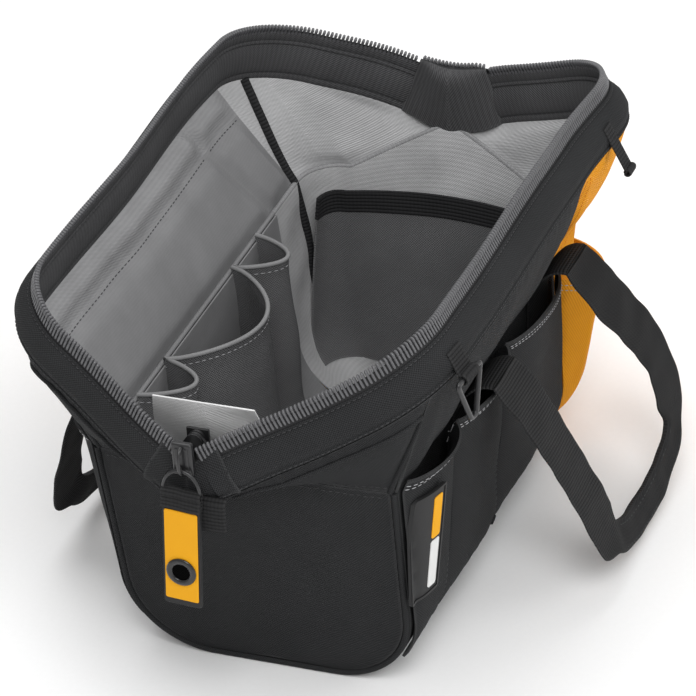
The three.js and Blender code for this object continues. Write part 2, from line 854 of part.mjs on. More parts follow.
function rimEdge(side, stations, offset) {
  return stations.map((s) => rimPoint(side, s, offset, collarDrop));
}

// Rulings of the near, side and far parts of a collar, at a depth into the wall and an offset on the rim
function nearRulings(side, depth, offset, rise) {
  const shares = steps(8, closeGap / (waistWidth / 2), 1).map((s) => side * s);
  const stations = [...nearArm(armStart).slice(0, -1), ...nearBend(0, 0.5 - cornerCut, 4)];
  const lower = waistEdge(shares, (s, t) => nearPoint(s, t, nearPanelInset), depth);
  return ruled(lower, [shelfPoint(side, nearHingeX, closeGap, rise), ...rimEdge(side, stations, offset)], 12);
}

function sideRulings(side, depth, offset) {
  const ends = [nearX(waistHeight) + sideStart, sideSeamX(waistHeight) - seat];
  const stations = [...nearBend(0.5 + cornerCut, 1, 4), stationAt(seamRimX - seat)];
  const lower = ends.map((x) => point(x, side * (waistWidth / 2 - depth), waistHeight + closeGap));
  return ruled(lower, rimEdge(side, stations, offset), 12);
}

function farRulings(side, depth, offset, rise) {
  const shares = [
    ...steps(2, 1, cornerShare),
    ...steps(4, cornerShare, faceShare).slice(1),
    ...steps(4, faceShare, faceShare * closeGap / (waistWidth / 2 - farCornerRadius)).slice(1),
  ].map((s) => side * s);
  const stations = [stationAt(seamRimX + seat), ...farBend(0, 1, 6), ...farArm(armStart).slice(1)];
  const lower = waistEdge(shares, farPoint, depth);
  return ruled(lower, [...rimEdge(side, stations, offset), shelfPoint(side, farHingeX, closeGap, rise)], 18);
}

function collar(rulings, side) {
  const outer = rulings(side, 0, collarHalf, 0);
  return solidBetween(outer, rulings(side, clothThickness, -collarHalf, clothThickness));
}

// The lining above the waist on one side, all the way from the near V to the far V
function upperLining(side) {
  const rows = (depth) => {
    const offset = -(depth - collarHalf);
    const near = nearRulings(side, depth, offset, depth);
    const middle = sideRulings(side, depth, offset);
    const far = farRulings(side, depth, offset, depth);
    return near.map((row, i) => [...row.slice(1), ...middle[i].slice(1, -1), ...far[i].slice(0, -1)]);
  };
  const depth = clothThickness + 2 * seat;
  return solidBetween(rows(depth), rows(depth + liningThickness));
}

function makeCollars() {
  for (const [name, side] of sides) {
    addPiece(`${name}_near_collar`, collar(nearRulings, side), 'black_fabric');
    addPiece(`${name}_side_collar`, collar(sideRulings, side), 'black_fabric');
    addPiece(`${name}_far_collar`, collar(farRulings, side), 'orange_fabric');
    addPiece(`${name}_upper_lining`, upperLining(side), 'grey_lining');
  }
}

// Zip slider, ring and tag at the near V

const sliderFront = nearHingeX - sliderGap - sliderThickness;
const ringX = sliderFront - bailReach / 2 + 0.6;
const sliderTop = hingeHeight + sliderHeight / 2 - 1;
const bailTop = sliderTop - 1.5;
const bailLow = bailTop - bailHeight;
const ringTop = bailLow + bailWire + seat + pullRingWire;
const ringBottom = ringTop - pullRingRise;

function makeSlider() {
  const width = sliderWidth / 2;
  const low = point(sliderFront, -width, sliderTop - sliderHeight);
  const high = point(sliderFront + sliderThickness, width, sliderTop);
  const half = bailWire / 2;
  const outer = box(point(sliderFront - bailReach, -half, bailLow), point(sliderFront + 1, half, bailTop));
  const hole = box(
    point(sliderFront - bailReach + bailWire, -bailWire, bailLow + bailWire),
    point(sliderFront, bailWire, bailTop - bailWire),
  );
  addPiece('zip_slider', joined(box(low, high), cut(outer, hole)), 'dark_metal');
}

// The stiff tag leans a little to the left, and turns its ring with it
function leaned(geometry) {
  geometry.translate(0, 0, -ringTop);
  geometry.rotateX(THREE.MathUtils.degToRad(tagLean));
  return geometry.translate(0, 0, ringTop);
}

// The pull ring is a D: a straight bar below and an arch that hangs from the slider's bail
function makePullRing() {
  const section = circle(pullRingWire, 6);
  const arch = steps(16, -0.1, Math.PI + 0.1).map((a) => new THREE.Vector2(
    pullBarHalf * Math.cos(a),
    Math.max(0, pullRingRise * Math.sin(a)),
  ));
  const rings = arch.map((p, i) => {
    const next = arch[(i + 1) % arch.length];
    const before = arch[(i + arch.length - 1) % arch.length];
    const ahead = next.clone().sub(before).normalize();
    const centre = point(ringX, p.x, ringBottom + p.y);
    return section.map((s) => centre.clone().add(point(s.y, s.x * ahead.y, -s.x * ahead.x)));
  });
  addPiece('pull_ring', leaned(loft(rings, section, true)), 'dark_metal');
}

const insertX = ringX - tagThickness / 2 - seat;
const foldZ = ringBottom - (foldBore - pullRingWire - seat);
const tagTop = foldZ - foldBore;
const tagBottom = tagTop - tagLength;
const eyeletZ = tagBottom + insertMargin + eyeletRise;

function makeTag() {
  const half = tagThickness / 2;
  const plate = box(point(ringX - half, -tagWidth / 2, tagBottom), point(ringX + half, tagWidth / 2, tagTop));
  const eye = new THREE.Shape().absarc(0, 0, foldBore + foldWall, 0, Math.PI * 2, false);
  eye.holes.push(new THREE.Path().absarc(0, 0, foldBore, 0, Math.PI * 2, true));
  const fold = new THREE.ExtrudeGeometry(eye, { depth: foldWidth, bevelEnabled: false, curveSegments: 10 });
  fold.rotateX(halfTurn).translate(ringX, foldWidth / 2, foldZ);
  const through = roundBar(eyeletBore + 1.4, insertX - 5, ringX + 5, eyeletZ);
  addPiece('pull_tag_webbing', leaned(cut(joined(plate, fold), through)), 'webbing');
  const low = point(insertX - insertThickness, -insertWidth / 2, tagBottom + insertMargin);
  const high = point(insertX, insertWidth / 2, tagBottom + insertMargin + insertLength);
  addPiece('pull_tag_insert', leaned(cut(box(low, high), through)), 'orange_rubber');
  const front = insertX - insertThickness - seat;
  const back = ringX + half + seat;
  const flange = 1;
  const body = joined(
    roundBar(eyeletOuter, front - flange, front, eyeletZ),
    roundBar(eyeletBore + 1, front - flange, back + flange, eyeletZ),
    roundBar(eyeletOuter - 1, back, back + flange, eyeletZ),
  );
  const bore = roundBar(eyeletBore, front - 5, back + 5, eyeletZ);
  addPiece('pull_tag_eyelet', leaned(cut(body, bore)), 'dark_metal');
}

// Webbing tab that closes the near end of the zip, sewn under the shelf
function makeEndTab() {
  const x = nearHingeX - 5.2;
  const low = endTabOffset - endTabWidth / 2;
  const high = endTabOffset + endTabWidth / 2;
  const shelf = shelfPoint(1, nearHingeX, 0).z - seat;
  const hanging = box(point(x - 1, low, endTabBottom), point(x + 0.8, high, endTabTop));
  const tongue = box(point(x, low, shelf - 2), point(nearHingeX + 12, high, shelf));
  addPiece('zip_end_tab', joined(hanging, tongue), 'webbing');
}

// Outside pockets

function pocketLipAt(x) {
  const end = sideSeamX(pocketLipFar);
  const share = THREE.MathUtils.clamp((x - pocketSlopeX) / (end - pocketSlopeX), 0, 1);
  return mix(pocketLip, pocketLipFar, share);
}

function pocketEdges(z) {
  return [nearX(z) + sideStart, pocketDividerOne, pocketDividerTwo, sideSeamX(z) - sideStart];
}

// The outer wall below the waist and the collar's slope above it
function outerHalf(z) {
  const slope = (mouthWidth / 2 + hemDepth * Math.sin(openTilt) - waistWidth / 2)
    / (railHeight - hemDepth * Math.cos(openTilt) - waistHeight);
  return wallHalf(Math.min(z, waistHeight)) + slope * Math.max(0, z - waistHeight);
}

function pocketOutset(x, t, z) {
  const edges = pocketEdges(z);
  const k = Math.min(2, Math.max(0, edges.findIndex((e, i) => x <= edges[i + 1])));
  const u = THREE.MathUtils.clamp((x - edges[k]) / (edges[k + 1] - edges[k]), 0, 1);
  const left = k === 0 ? 0 : pocketDividerDepth;
  const right = k === 2 ? 0 : pocketDividerDepth;
  const open = mix(left, right, u) + pocketLobeDepth * Math.sin(Math.PI * u) ** 0.6;
  const slack = footSlack * Math.max(0, 1 - (z - pocketFoot) / (footRadius - pocketFoot));
  return 2 * seat + clothThickness + slack + open * t ** 0.8;
}

const pocketRows = [0, 0.08, 0.16, 0.24, 0.42, 0.6, 0.8, 0.93, 1];

function pocketGrid(side) {
  const columns = [0, 1, 2].flatMap((k) => steps(7, k, k + 1).slice(k ? 1 : 0));
  return pocketRows.map((t) => columns.map((column) => {
    const k = Math.min(2, Math.floor(column));
    const place = (height) => {
      const edges = pocketEdges(height);
      return mix(edges[k], edges[k + 1], column - k);
    };
    const z = mix(pocketFoot, pocketLipAt(place(pocketLip)), t);
    const x = place(z);
    return point(x, side * (outerHalf(z) + pocketOutset(x, t, z)), z);
  }));
}

function pocketRow(side) {
  const outer = pocketGrid(side);
  const inner = outer.map((row) => row.map((p) => p.clone().setY(p.y - side * clothThickness)));
  return solidBetween(outer, inner);
}

function makePockets() {
  for (const [name, side] of sides) {
    addPiece(`${name}_pocket_row`, pocketRow(side), 'black_fabric');
  }
  const shares = farShares;
  const lip = (share) => {
    const size = Math.abs(share);
    const side = THREE.MathUtils.clamp((size - cornerShare) / (1 - cornerShare), 0, 1);
    return mix(farPocketLip, farPocketSeamLip, side);
  };
  const rows = pocketRows;
  const surface = rows.map((t) => shares.map((share) => farWallAt(share, mix(pocketFoot, lip(share), t))));
  const open = (i, j) => {
    const size = Math.abs(shares[j]);
    const grown = THREE.MathUtils.clamp((1 - size) / (1 - cornerShare), 0, 1) ** 0.7;
    return -(2 * seat + clothThickness + farPocketDepth * grown * rows[i] ** 0.8);
  };
  addPiece('far_pocket', layer(surface, open, clothThickness), 'orange_fabric');
}

// The far end's surface at a given height
function farWallAt(share, height) {
  let low = 0;
  let high = 1;
  for (let i = 0; i < 30; i += 1) {
    const middle = (low + high) / 2;
    if (farPoint(share, middle).z < height) {
      low = middle;
    } else {
      high = middle;
    }
  }
  return farPoint(share, low);
}

function makeBadge() {
  const columns = steps(4, badgeX - badgeWidth / 2, badgeX + badgeWidth / 2);
  const face = (x, z) => {
    const t = (z - pocketFoot) / (pocketLipAt(x) - pocketFoot);
    return -(outerHalf(z) + pocketOutset(x, t, z) + 2 * seat);
  };
  const rows = steps(5, badgeBottom, badgeTop);
  const outer = rows.map((z) => columns.map((x) => point(x, face(x, z) - badgeThickness, z)));
  const inner = outer.map((row) => row.map((p) => p.clone().setY(p.y + badgeThickness)));
  addPiece('badge_plate', solidBetween(outer, inner), 'black_rubber');
}

// Inside: tool loops on the left wall, pocket on the far wall, flap in the near V

function makeToolLoops() {
  const columns = [];
  for (let k = 0; k < loopDepths.length; k += 1) {
    for (const u of steps(8).slice(k ? 1 : 0)) {
      const depth = loopDepths[k] * Math.sin(Math.PI * u) ** 0.7;
      columns.push({ x: mix(loopEdges[k], loopEdges[k + 1], u), depth });
    }
  }
  const rows = steps(3, loopFoot, loopHeight);
  const place = (extra) => rows.map((z) => columns.map(({ x, depth }) => {
    const wall = wallHalf(Math.min(z, waistHeight)) - innerFace - seat;
    return point(x, wall - depth - extra, z);
  }));
  const facing = rows.map((z) => columns.map((c, j) => loopDirection(columns, j)));
  const outer = place(0);
  const inner = outer.map((row, i) => row.map((p, j) => (
    p.clone().addScaledVector(facing[i][j], loopThickness)
  )));
  addPiece('tool_loop_strip', solidBetween(outer, inner), 'dark_pocket');
}

// The direction into the bag, square to the loop strip in plan
function loopDirection(columns, j) {
  const before = columns[Math.max(j - 1, 0)];
  const after = columns[Math.min(j + 1, columns.length - 1)];
  const slope = point(after.x - before.x, before.depth - after.depth, 0).normalize();
  const direction = point(slope.y, -slope.x, 0);
  const edge = j === 0 || j === columns.length - 1 || columns[j].depth < 0.5;
  return edge ? point(0, -1, 0) : direction;
}

function makeInnerPocket() {
  const shares = farShares.filter((s) => Math.abs(s) < cornerShare - 0.02);
  const rows = steps(5);
  const surface = rows.map((t) => shares.map((s) => farWallAt(s, mix(pocketFoot, farInnerPocketLip, t))));
  const inset = (i) => innerFace + 3 * seat + farInnerPocketOpen * rows[i] ** 1.5;
  addPiece('far_inner_pocket', layer(surface, inset, loopThickness), 'dark_pocket');
}

function makeFlap() {
  const top = movedIn(nearLiningGrid(), () => liningInset)[girthSteps.length - 1];
  const middle = resample(top, 40).filter((p) => Math.abs(p.y) < flapHalfWidth);
  const foot = middle.map((p) => p.setZ(p.z + 2 * seat));
  const tip = foot.reduce((x, p) => Math.min(x, p.x), 0) - flapLean;
  const outer = steps(4).map((t) => foot.map((p) => p.clone().lerp(point(tip, p.y, flapTop), t)));
  const inner = outer.map((row) => row.map((p) => p.clone().setX(p.x + liningThickness)));
  addPiece('near_lining_flap', solidBetween(outer, inner), 'pale_lining');
}

// Handles: each leg is sewn to the wall behind the pockets and comes over their lip

function legLine(side, x) {
  const off = seat + strapThickness / 2;
  const wall = steps(4, legFoot, waistHeight - 4).map((z) => point(x, side * (wallHalf(z) + off), z));
  const start = wall[wall.length - 1];
  const lift = handlePivotHeight + 1.5;
  const end = point(x, side * (handlePivotY - handleGap), handlePivotHeight);
  const over = new THREE.CubicBezierCurve3(
    start,
    point(x, start.y + side * 6, mix(start.z, lift, 0.5)),
    point(x, mix(start.y, end.y, 0.5), lift),
    end,
  );
  return [...wall, ...over.getPoints(6).slice(1)];
}

function leg(side, x) {
  const across = point(1, 0, 0);
  const line = legLine(side, x);
  return strap(line.map((at, i) => ({
    at, across, width: strapWidth, thickness: strapThickness, square: i === line.length - 1,
  })));
}

// Centre line of a swinging loop: down from one leg, along the grip and up to the other leg
function handleCurve(side) {
  const start = handlePivotY + handleGap;
  const top = handlePivotHeight;
  const shoulder = mix(start, gripOut, shoulderShare);
  const elbow = mix(start, gripOut, elbowShare);
  const middle = mix(gripHeight, handlePivotHeight, elbowHeightShare);
  const near = gripNearX + (side > 0 ? leftGripShift : 0);
  const far = gripFarX + (side > 0 ? leftGripShift : 0);
  const places = [
    point(nearLegX, start, top),
    point(mix(nearLegX, near - 14, 0.3), shoulder, handlePivotHeight - shoulderDrop),
    point(near - 14, elbow, middle),
    point(near, gripOut - 1, gripHeight + 18),
    point(near + 28, gripOut, gripHeight),
    point(far - 26, gripOut, gripHeight),
    point(far + 4, gripOut - 1, gripHeight + 18),
    point(far + 14, elbow, middle),
    point(farLegX + 8, shoulder, handlePivotHeight - shoulderDrop),
    point(farLegX, start, top),
  ].map((p) => p.setY(p.y * side));
  return new THREE.CatmullRomCurve3(places, false, 'centripetal');
}

function handleLoop(side) {
  const curve = handleCurve(side);
  const shares = steps(26);
  return strap(shares.map((t, i) => {
    const at = curve.getPointAt(t);
    const grip = t > gripStart && t < gripEnd;
    const end = i === 0 || i === shares.length - 1;
    const across = new THREE.Vector3().crossVectors(point(0, side, 0.3), curve.getTangentAt(t));
    return {
      at,
      across: end ? point(t < 0.5 ? -side : side, 0, 0) : across.normalize(),
      square: end,
      width: grip ? gripWidth : strapWidth,
      thickness: grip ? gripThickness : strapThickness,
    };
  }));
}

function makeHandles() {
  for (const [name, side] of sides) {
    addPiece(`${name}_handle_near_leg`, leg(side, nearLegX), 'webbing');
    addPiece(`${name}_handle_far_leg`, leg(side, farLegX), 'webbing');
    addPiece(`${name}_handle_loop`, handleLoop(side), 'webbing');
  }
}

// Carrying rings hang from webbing tabs on the outer hem

const hemFace = rodRadius + seat + hemSkin + seat;
const barBore = ringWire + 0.5;
const ringOffset = hemFace + barBore;
const ringBarDrop = hemDepth + 4;

// Turns a solid made in offset, drop and along-the-rim coordinates into its place on the rim
function onRim(side, station, geometry) {
  const origin = rimPoint(side, station, 0, 0);
  const out = rimPoint(side, station, 1, 0).sub(origin);
  const down = rimPoint(side, station, 0, 1).sub(origin);
  const along = new THREE.Vector3().crossVectors(out, down).multiplyScalar(-side);
  const place = new THREE.Matrix4().makeBasis(out, down, along).setPosition(origin);
  return fromManifold(toManifold(geometry).transform(place.toArray()));
}

function tab(side, x, width, bore, drop) {
  const half = width / 2;
  const flat = box(point(hemFace, hemDepth - 15, -half), point(hemFace + tabSkin, ringBarDrop + drop, half));
  const eye = new THREE.CylinderGeometry(bore + tabSkin, bore + tabSkin, width, 16).rotateX(halfTurn);
  eye.translate(hemFace + bore, ringBarDrop + drop, 0);
  const hole = new THREE.CylinderGeometry(bore, bore, width + 2, 16).rotateX(halfTurn);
  hole.translate(hemFace + bore, ringBarDrop + drop, 0);
  return onRim(side, stationAt(x), cut(joined(flat, eye), hole));
}

// A three-cornered ring hanging straight down from its bar
function carryRing(side, x) {
  const station = stationAt(x);
  const centre = rimPoint(side, station, ringOffset, ringBarDrop);
  const { out } = station;
  const along = point(out.y, -side * out.x * Math.cos(openTilt), -out.x * Math.sin(openTilt)).normalize();
  const down = point(0, 0, -1).addScaledVector(along, along.z).normalize();
  const face = new THREE.Vector3().crossVectors(along, down);
  const half = ringWidth / 2;
  const tip = 3;
  const corners = [[-half, 0], [half, 0], [tip, ringDrop], [-tip, ringDrop]];
  const turns = corners.map(([u, v]) => new THREE.Vector2(u, v));
  const line = turns.flatMap((corner, i) => {
    const back = turns[(i + 3) % 4].clone().sub(corner).normalize();
    const ahead = turns[(i + 1) % 4].clone().sub(corner).normalize();
    return steps(3).map((t) => corner.clone()
      .addScaledVector(back, tip * 0.85 * (1 - t) ** 2)
      .addScaledVector(ahead, tip * 0.85 * t ** 2));
  });
  const section = circle(ringWire, 6);
  const rings = line.map((p, i) => {
    const next = line[(i + 1) % line.length];
    const before = line[(i + line.length - 1) % line.length];
    const ahead = next.clone().sub(before).normalize();
    return section.map((s) => centre.clone()
      .addScaledVector(along, p.x + s.x * ahead.y)
      .addScaledVector(down, p.y - s.x * ahead.x)
      .addScaledVector(face, s.y));
  });
  return loft(rings, section, true);
}

function makeCarryRings() {
  addPiece('right_ring_tab', tab(-1, rightRingX, ringTabWidth, barBore, 0), 'webbing');
  addPiece('left_ring_tab', tab(1, leftRingX, ringTabWidth, barBore, 0), 'webbing');
  addPiece('right_loop_tab', tab(-1, loopTabX, loopTabWidth, loopTabBore, loopTabDrop), 'webbing');
  addPiece('right_carry_ring', carryRing(-1, rightRingX), 'dark_metal');
  addPiece('left_carry_ring', carryRing(1, leftRingX), 'dark_metal');
}

makeShell();
makeBoards();
makeLining();
makeRim();
makeBrackets();
makeCollars();
makeSlider();
makePullRing();
makeTag();
makeEndTab();
makePockets();
makeBadge();
makeToolLoops();
makeInnerPocket();
makeFlap();
makeHandles();
makeCarryRings();

export default bag;
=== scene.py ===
"""An open tool bag: black and orange cloth shell, grey lining and a zip mouth on a folding steel frame."""

from math import acos, atan2, cos, hypot, pi, radians, sin, tan

import bpy
import numpy as np
from mathutils import Matrix, Vector, noise


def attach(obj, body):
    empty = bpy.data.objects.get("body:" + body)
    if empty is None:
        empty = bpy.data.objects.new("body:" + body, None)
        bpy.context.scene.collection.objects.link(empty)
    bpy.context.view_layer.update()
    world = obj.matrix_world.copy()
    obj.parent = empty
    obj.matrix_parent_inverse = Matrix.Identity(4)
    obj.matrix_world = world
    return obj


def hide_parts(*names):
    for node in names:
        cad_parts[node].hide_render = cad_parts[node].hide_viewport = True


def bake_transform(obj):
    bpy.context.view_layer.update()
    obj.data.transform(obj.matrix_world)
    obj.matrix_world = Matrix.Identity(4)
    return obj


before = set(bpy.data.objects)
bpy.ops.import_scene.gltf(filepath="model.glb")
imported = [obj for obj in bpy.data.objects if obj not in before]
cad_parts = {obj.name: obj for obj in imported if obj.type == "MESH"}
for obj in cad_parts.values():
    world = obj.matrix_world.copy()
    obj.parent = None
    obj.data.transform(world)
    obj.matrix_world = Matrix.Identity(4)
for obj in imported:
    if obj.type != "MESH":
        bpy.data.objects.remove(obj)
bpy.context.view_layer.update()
MM = 0.001
SIDES = (("right", -1.0), ("left", 1.0))
TO_BAG = np.array([0.0, 0.0, 90.0])

# Body of the bag, in millimetres
HALF_LENGTH = 158.0
BASE_HALF = 95.5
WAIST_HALF = 99.0
WAIST = 158.0
FOOT_RADIUS = 56.0
FOOT_HALF = BASE_HALF - FOOT_RADIUS
FOOT_SHARE = 0.42
NEAR_LEAN = 20.0
FAR_LEAN = 22.0
NEAR_BULGE = 34.0
FAR_BULGE = 12.0
PEAK_RISE = 33.0
PEAK = WAIST + PEAK_RISE
FAR_CORNER = 32.0
SEAM_FOOT_X = 122.0
SEAM_WAIST_X = 106.0
FACE_SHARE = 0.45
CORNER_SHARE = 0.68
CLOTH = 1.8
GAP = 0.3
PANEL_INSET = 4.4
SIDE_START = 2.5
LINING_INSET = 5.4
INNER_FACE = 6.4

# Mouth of the bag
HINGE_Z = 220.0
NEAR_HINGE_X = -254.0
FAR_HINGE_X = 212.0
MOUTH_HALF = 125.0
RAIL_RISE = 60.0
REACH = hypot(MOUTH_HALF, RAIL_RISE)
TILT = atan2(RAIL_RISE, MOUTH_HALF)
HEM_DEPTH = 36.0
COLLAR_DROP = 36.8
ARM_START = 4.0


def wall_half(z):
    """Half width of the body at a height."""
    z = np.asarray(z, float)
    low = FOOT_HALF + np.sqrt(np.maximum(FOOT_RADIUS**2 - (FOOT_RADIUS - z) ** 2, 0))
    share = (z - FOOT_RADIUS) / (WAIST - FOOT_RADIUS)
    return np.where(z < FOOT_RADIUS, low, BASE_HALF + (WAIST_HALF - BASE_HALF) * share)


def girth(t, inset=0.0):
    """Half width and height on the way from the floor's edge up to the waist."""
    t = np.asarray(t, float)
    turn = np.clip(t / FOOT_SHARE, 0, 1) * pi / 2
    radius = FOOT_RADIUS - inset
    up = FOOT_RADIUS + (WAIST - FOOT_RADIUS) * (t - FOOT_SHARE) / (1 - FOOT_SHARE)
    low = t < FOOT_SHARE
    half = np.where(low, FOOT_HALF + radius * np.sin(turn), wall_half(up) - inset)
    return half, np.where(low, FOOT_RADIUS - radius * np.cos(turn), up)


def near_x(z):
    return -(HALF_LENGTH + NEAR_LEAN * z / WAIST)


def far_x(z):
    return HALF_LENGTH + FAR_LEAN * z / WAIST


def seam_x(z):
    return SEAM_FOOT_X + (SEAM_WAIST_X - SEAM_FOOT_X) * z / WAIST


def swell(share, z):
    return (1 - share**2) * np.clip(z / PEAK, 0, 1) ** 1.5


def near_wall(s, t, inset=0.0):
    """The end wall under the zip slider: s runs from -1 on the right to 1 on the left."""
    half, z = girth(t, inset)
    height = z * (WAIST + PEAK_RISE * (1 - np.abs(s))) / WAIST
    x = near_x(height) - NEAR_BULGE * swell(s, height)
    return np.stack(np.broadcast_arrays(x, s * half, height), -1)


def far_wall(s, t):
    """The orange end, round its corners to the side seams."""
    half, z = girth(t)
    s, half, z = np.broadcast_arrays(s, half, z)
    size, sign = np.abs(s), np.where(s < 0, -1.0, 1.0)
    r = np.minimum(FAR_CORNER, 0.8 * half)
    part = np.clip(size / FACE_SHARE, 0, 1)
    height = z * (WAIST + PEAK_RISE * (1 - part)) / WAIST
    face = [far_x(height) + FAR_BULGE * swell(part, height), sign * part * (half - r), height]
    turn = pi / 2 * np.clip((size - FACE_SHARE) / (CORNER_SHARE - FACE_SHARE), 0, 1)
    bend = [far_x(z) - r + r * np.cos(turn), sign * (half - r + r * np.sin(turn)), z]
    part = np.clip((size - CORNER_SHARE) / (1 - CORNER_SHARE), 0, 1)
    start = far_x(z) - r
    flat = [start + (seam_x(z) + GAP - start) * part, sign * half, z]
    chosen = [
        np.where(size <= FACE_SHARE, a, np.where(size <= CORNER_SHARE, b, c)) for a, b,
        c in zip(face, bend, flat)
    ]
    return np.stack(chosen, -1)


def corner_of(before, corner, after, radius):
    """Start, centre and turn of a rounded corner of the rim."""
    back = (before - corner) / np.linalg.norm(before - corner)
    ahead = (after - corner) / np.linalg.norm(after - corner)
    spread = acos(back @ ahead)
    start = corner + back * radius / tan(spread / 2)
    middle = (back + ahead) / np.linalg.norm(back + ahead)
    return start, corner + middle * radius / sin(spread / 2), pi - spread


def rim_line():
    """The rim's plan in the frame's own plane: places, outward directions and length so far."""
    ends = np.array([[NEAR_HINGE_X, 0.0], [FAR_HINGE_X, 0.0]])
    rails = np.array([[-202.0, REACH], [172.0, REACH]])
    places, outs, marks = [], [], [0]
    for k, radius in ((0, 62.0), (1, 70.0)):
        path = [ends[0], rails[0], rails[1]] if k == 0 else [rails[0], rails[1], ends[1]]
        start, centre, turn = corner_of(*path, radius)
        if k == 0:
            ahead = (rails[0] - ends[0]) / np.linalg.norm(rails[0] - ends[0])
            for share in np.linspace(0, 1, 60, endpoint=False):
                places.append(ends[0] + (start - ends[0]) * share)
                outs.append([-ahead[1], ahead[0]])
        else:
            first = places[-1]
            for share in np.linspace(0, 1, 200, endpoint=False)[1:]:
                places.append(first + (start - first) * share)
                outs.append([0.0, 1.0])
        marks.append(len(places))
        spoke = (start - centre) / radius
        for share in np.linspace(0, 1, 61):
            a = -turn * share
            out = np.array(
                [spoke[0] * cos(a) - spoke[1] * sin(a), spoke[0] * sin(a) + spoke[1] * cos(a)]
            )
            places.append(centre + out * radius)
            outs.append(out)
        marks.append(len(places) - 1)
    last = places[-1]
    ahead = (rails[1] - ends[1]) / np.linalg.norm(rails[1] - ends[1])
    for share in np.linspace(0, 1, 60)[1:]:
        places.append(last + (ends[1] - last) * share)
        outs.append([ahead[1], -ahead[0]])
    places, outs = np.array(places), np.array(outs)
    length = np.concatenate([[0], np.cumsum(np.linalg.norm(np.diff(places, axis=0), axis=1))])
    return places, outs, length, [length[m] for m in marks[1:]]


RIM_AT, RIM_OUT, RIM_LENGTH, (NEAR_BEND, NEAR_BEND_END, FAR_BEND, FAR_BEND_END) = rim_line()
RIM_END = RIM_LENGTH[-1]
NEAR_MIDDLE = (NEAR_BEND + NEAR_BEND_END) / 2


def along(x):
    """Length along the rim at a place on the bag's long axis."""
    return np.interp(x, RIM_AT[:, 0], RIM_LENGTH)


def rim_sag(side, length):
    """How far the soft wire frame droops at its far corners and waves along its rails."""
    away = np.clip(np.abs(length - (FAR_BEND + FAR_BEND_END) / 2) / 105, 0, 1)
    calm = np.clip(np.minimum(length, RIM_END - length) / 60, 0, 1)
    return (7.5 if side < 0 else 6.5) * (1 - away**2) ** 2 + 1.1 * calm * np.sin(length / 27 + side)


def rim(side, length, offset, drop):
    """A place on the band: offset goes out of the mouth, drop goes down from the zip."""
    length, offset, drop = np.broadcast_arrays(length, offset, drop)
    drop = drop + rim_sag(side, length)
    calm = np.clip(np.minimum(length, RIM_END - length) / 60, 0, 1)
    offset = offset + 1.2 * calm * np.sin(length / 33 + 2 * side)
    at = [np.interp(length, RIM_LENGTH, RIM_AT[:, i]) for i in (0, 1)]
    out = [np.interp(length, RIM_LENGTH, RIM_OUT[:, i]) for i in (0, 1)]
    x = at[0] + offset * out[0]
    b = at[1] + offset * out[1]
    y = side * (b * cos(TILT) + drop * sin(TILT))
    return np.stack([x, y, HINGE_Z + b * sin(TILT) - drop * cos(TILT)], -1)


def resample(line, count):
    """Points at equal lengths along a line."""
    line = np.asarray(line, float)
    length = np.concatenate([[0], np.cumsum(np.linalg.norm(np.diff(line, axis=0), axis=1))])
    where = np.linspace(0, length[-1], count + 1)
    return np.stack([np.interp(where, length, line[:, i]) for i in range(3)], -1)


def normals_of(grid):
    """Unit normals of a grid of points."""
    across = np.gradient(grid, axis=1)
    up = np.gradient(grid, axis=0)
    n = np.cross(across, up)
    return n / np.maximum(np.linalg.norm(n, axis=-1, keepdims=True), 1e-9)


def waist_edge(wall, shares, depth):
    """The top edge of an end wall, moved in by a depth and lifted by the seam's gap."""
    rows = np.stack([wall(shares, 0.97), wall(shares, 1.0)])
    n = normals_of(rows)
    away = np.sign(np.sum((rows[1, -1] - [0, 0, 90]) * n[1, -1]))
    return rows[1] - n[1] * away * depth + [0, 0, 0.4]


def shelf(side, hinge_x, rise=0.0):
    inward = 1 if hinge_x < 0 else -1
    return np.array([hinge_x + 2 * inward, side * 0.4, HINGE_Z - COLLAR_DROP * cos(TILT) + 1.5 + rise])


def near_lines(side, depth=0.0, offset=0.0, rise=0.0):
    shares = side * np.linspace(0.4 / WAIST_HALF, 1, 40)
    lower = waist_edge(lambda s, t: near_wall(s, t, PANEL_INSET), shares, depth)
    stations = np.linspace(ARM_START, NEAR_MIDDLE + 0.3, 60)
    return lower, np.vstack([shelf(side, NEAR_HINGE_X, rise), rim(side, stations, offset, COLLAR_DROP)])


def side_lines(side, depth=0.0, offset=0.0):
    ends = np.linspace(near_x(WAIST) + 0.6, SEAM_WAIST_X + GAP, 60)
    lower = np.stack([ends, np.full(60, side * (WAIST_HALF - depth)), np.full(60, WAIST + 0.4)], -1)
    stations = np.linspace(NEAR_MIDDLE - 0.3, along(60), 90)
    return lower, rim(side, stations, offset, COLLAR_DROP)


def far_lines(side, depth=0.0, offset=0.0, rise=0.0):
    shares = side * np.linspace(1, FACE_SHARE * 0.4 / (WAIST_HALF - FAR_CORNER), 90)
    lower = waist_edge(far_wall, shares, depth)
    stations = np.linspace(along(60), RIM_END - ARM_START, 90)
    upper = np.vstack([rim(side, stations, offset, COLLAR_DROP), shelf(side, FAR_HINGE_X, rise)])
    return lower, upper


# Materials: shared surface effects first


def socketed(name, inputs, outputs):
    """A shader node group with named inputs and outputs."""
    group = bpy.data.node_groups.new(name, "ShaderNodeTree")
    for label, kind, value in inputs:
        socket = group.interface.new_socket(label, in_out="INPUT", socket_type=kind)
        if value is not None:
            socket.default_value = value
    for label in outputs:
        group.interface.new_socket(label, in_out="OUTPUT", socket_type="NodeSocketFloat")
    return group, group.nodes.new("NodeGroupInput"), group.nodes.new("NodeGroupOutput")


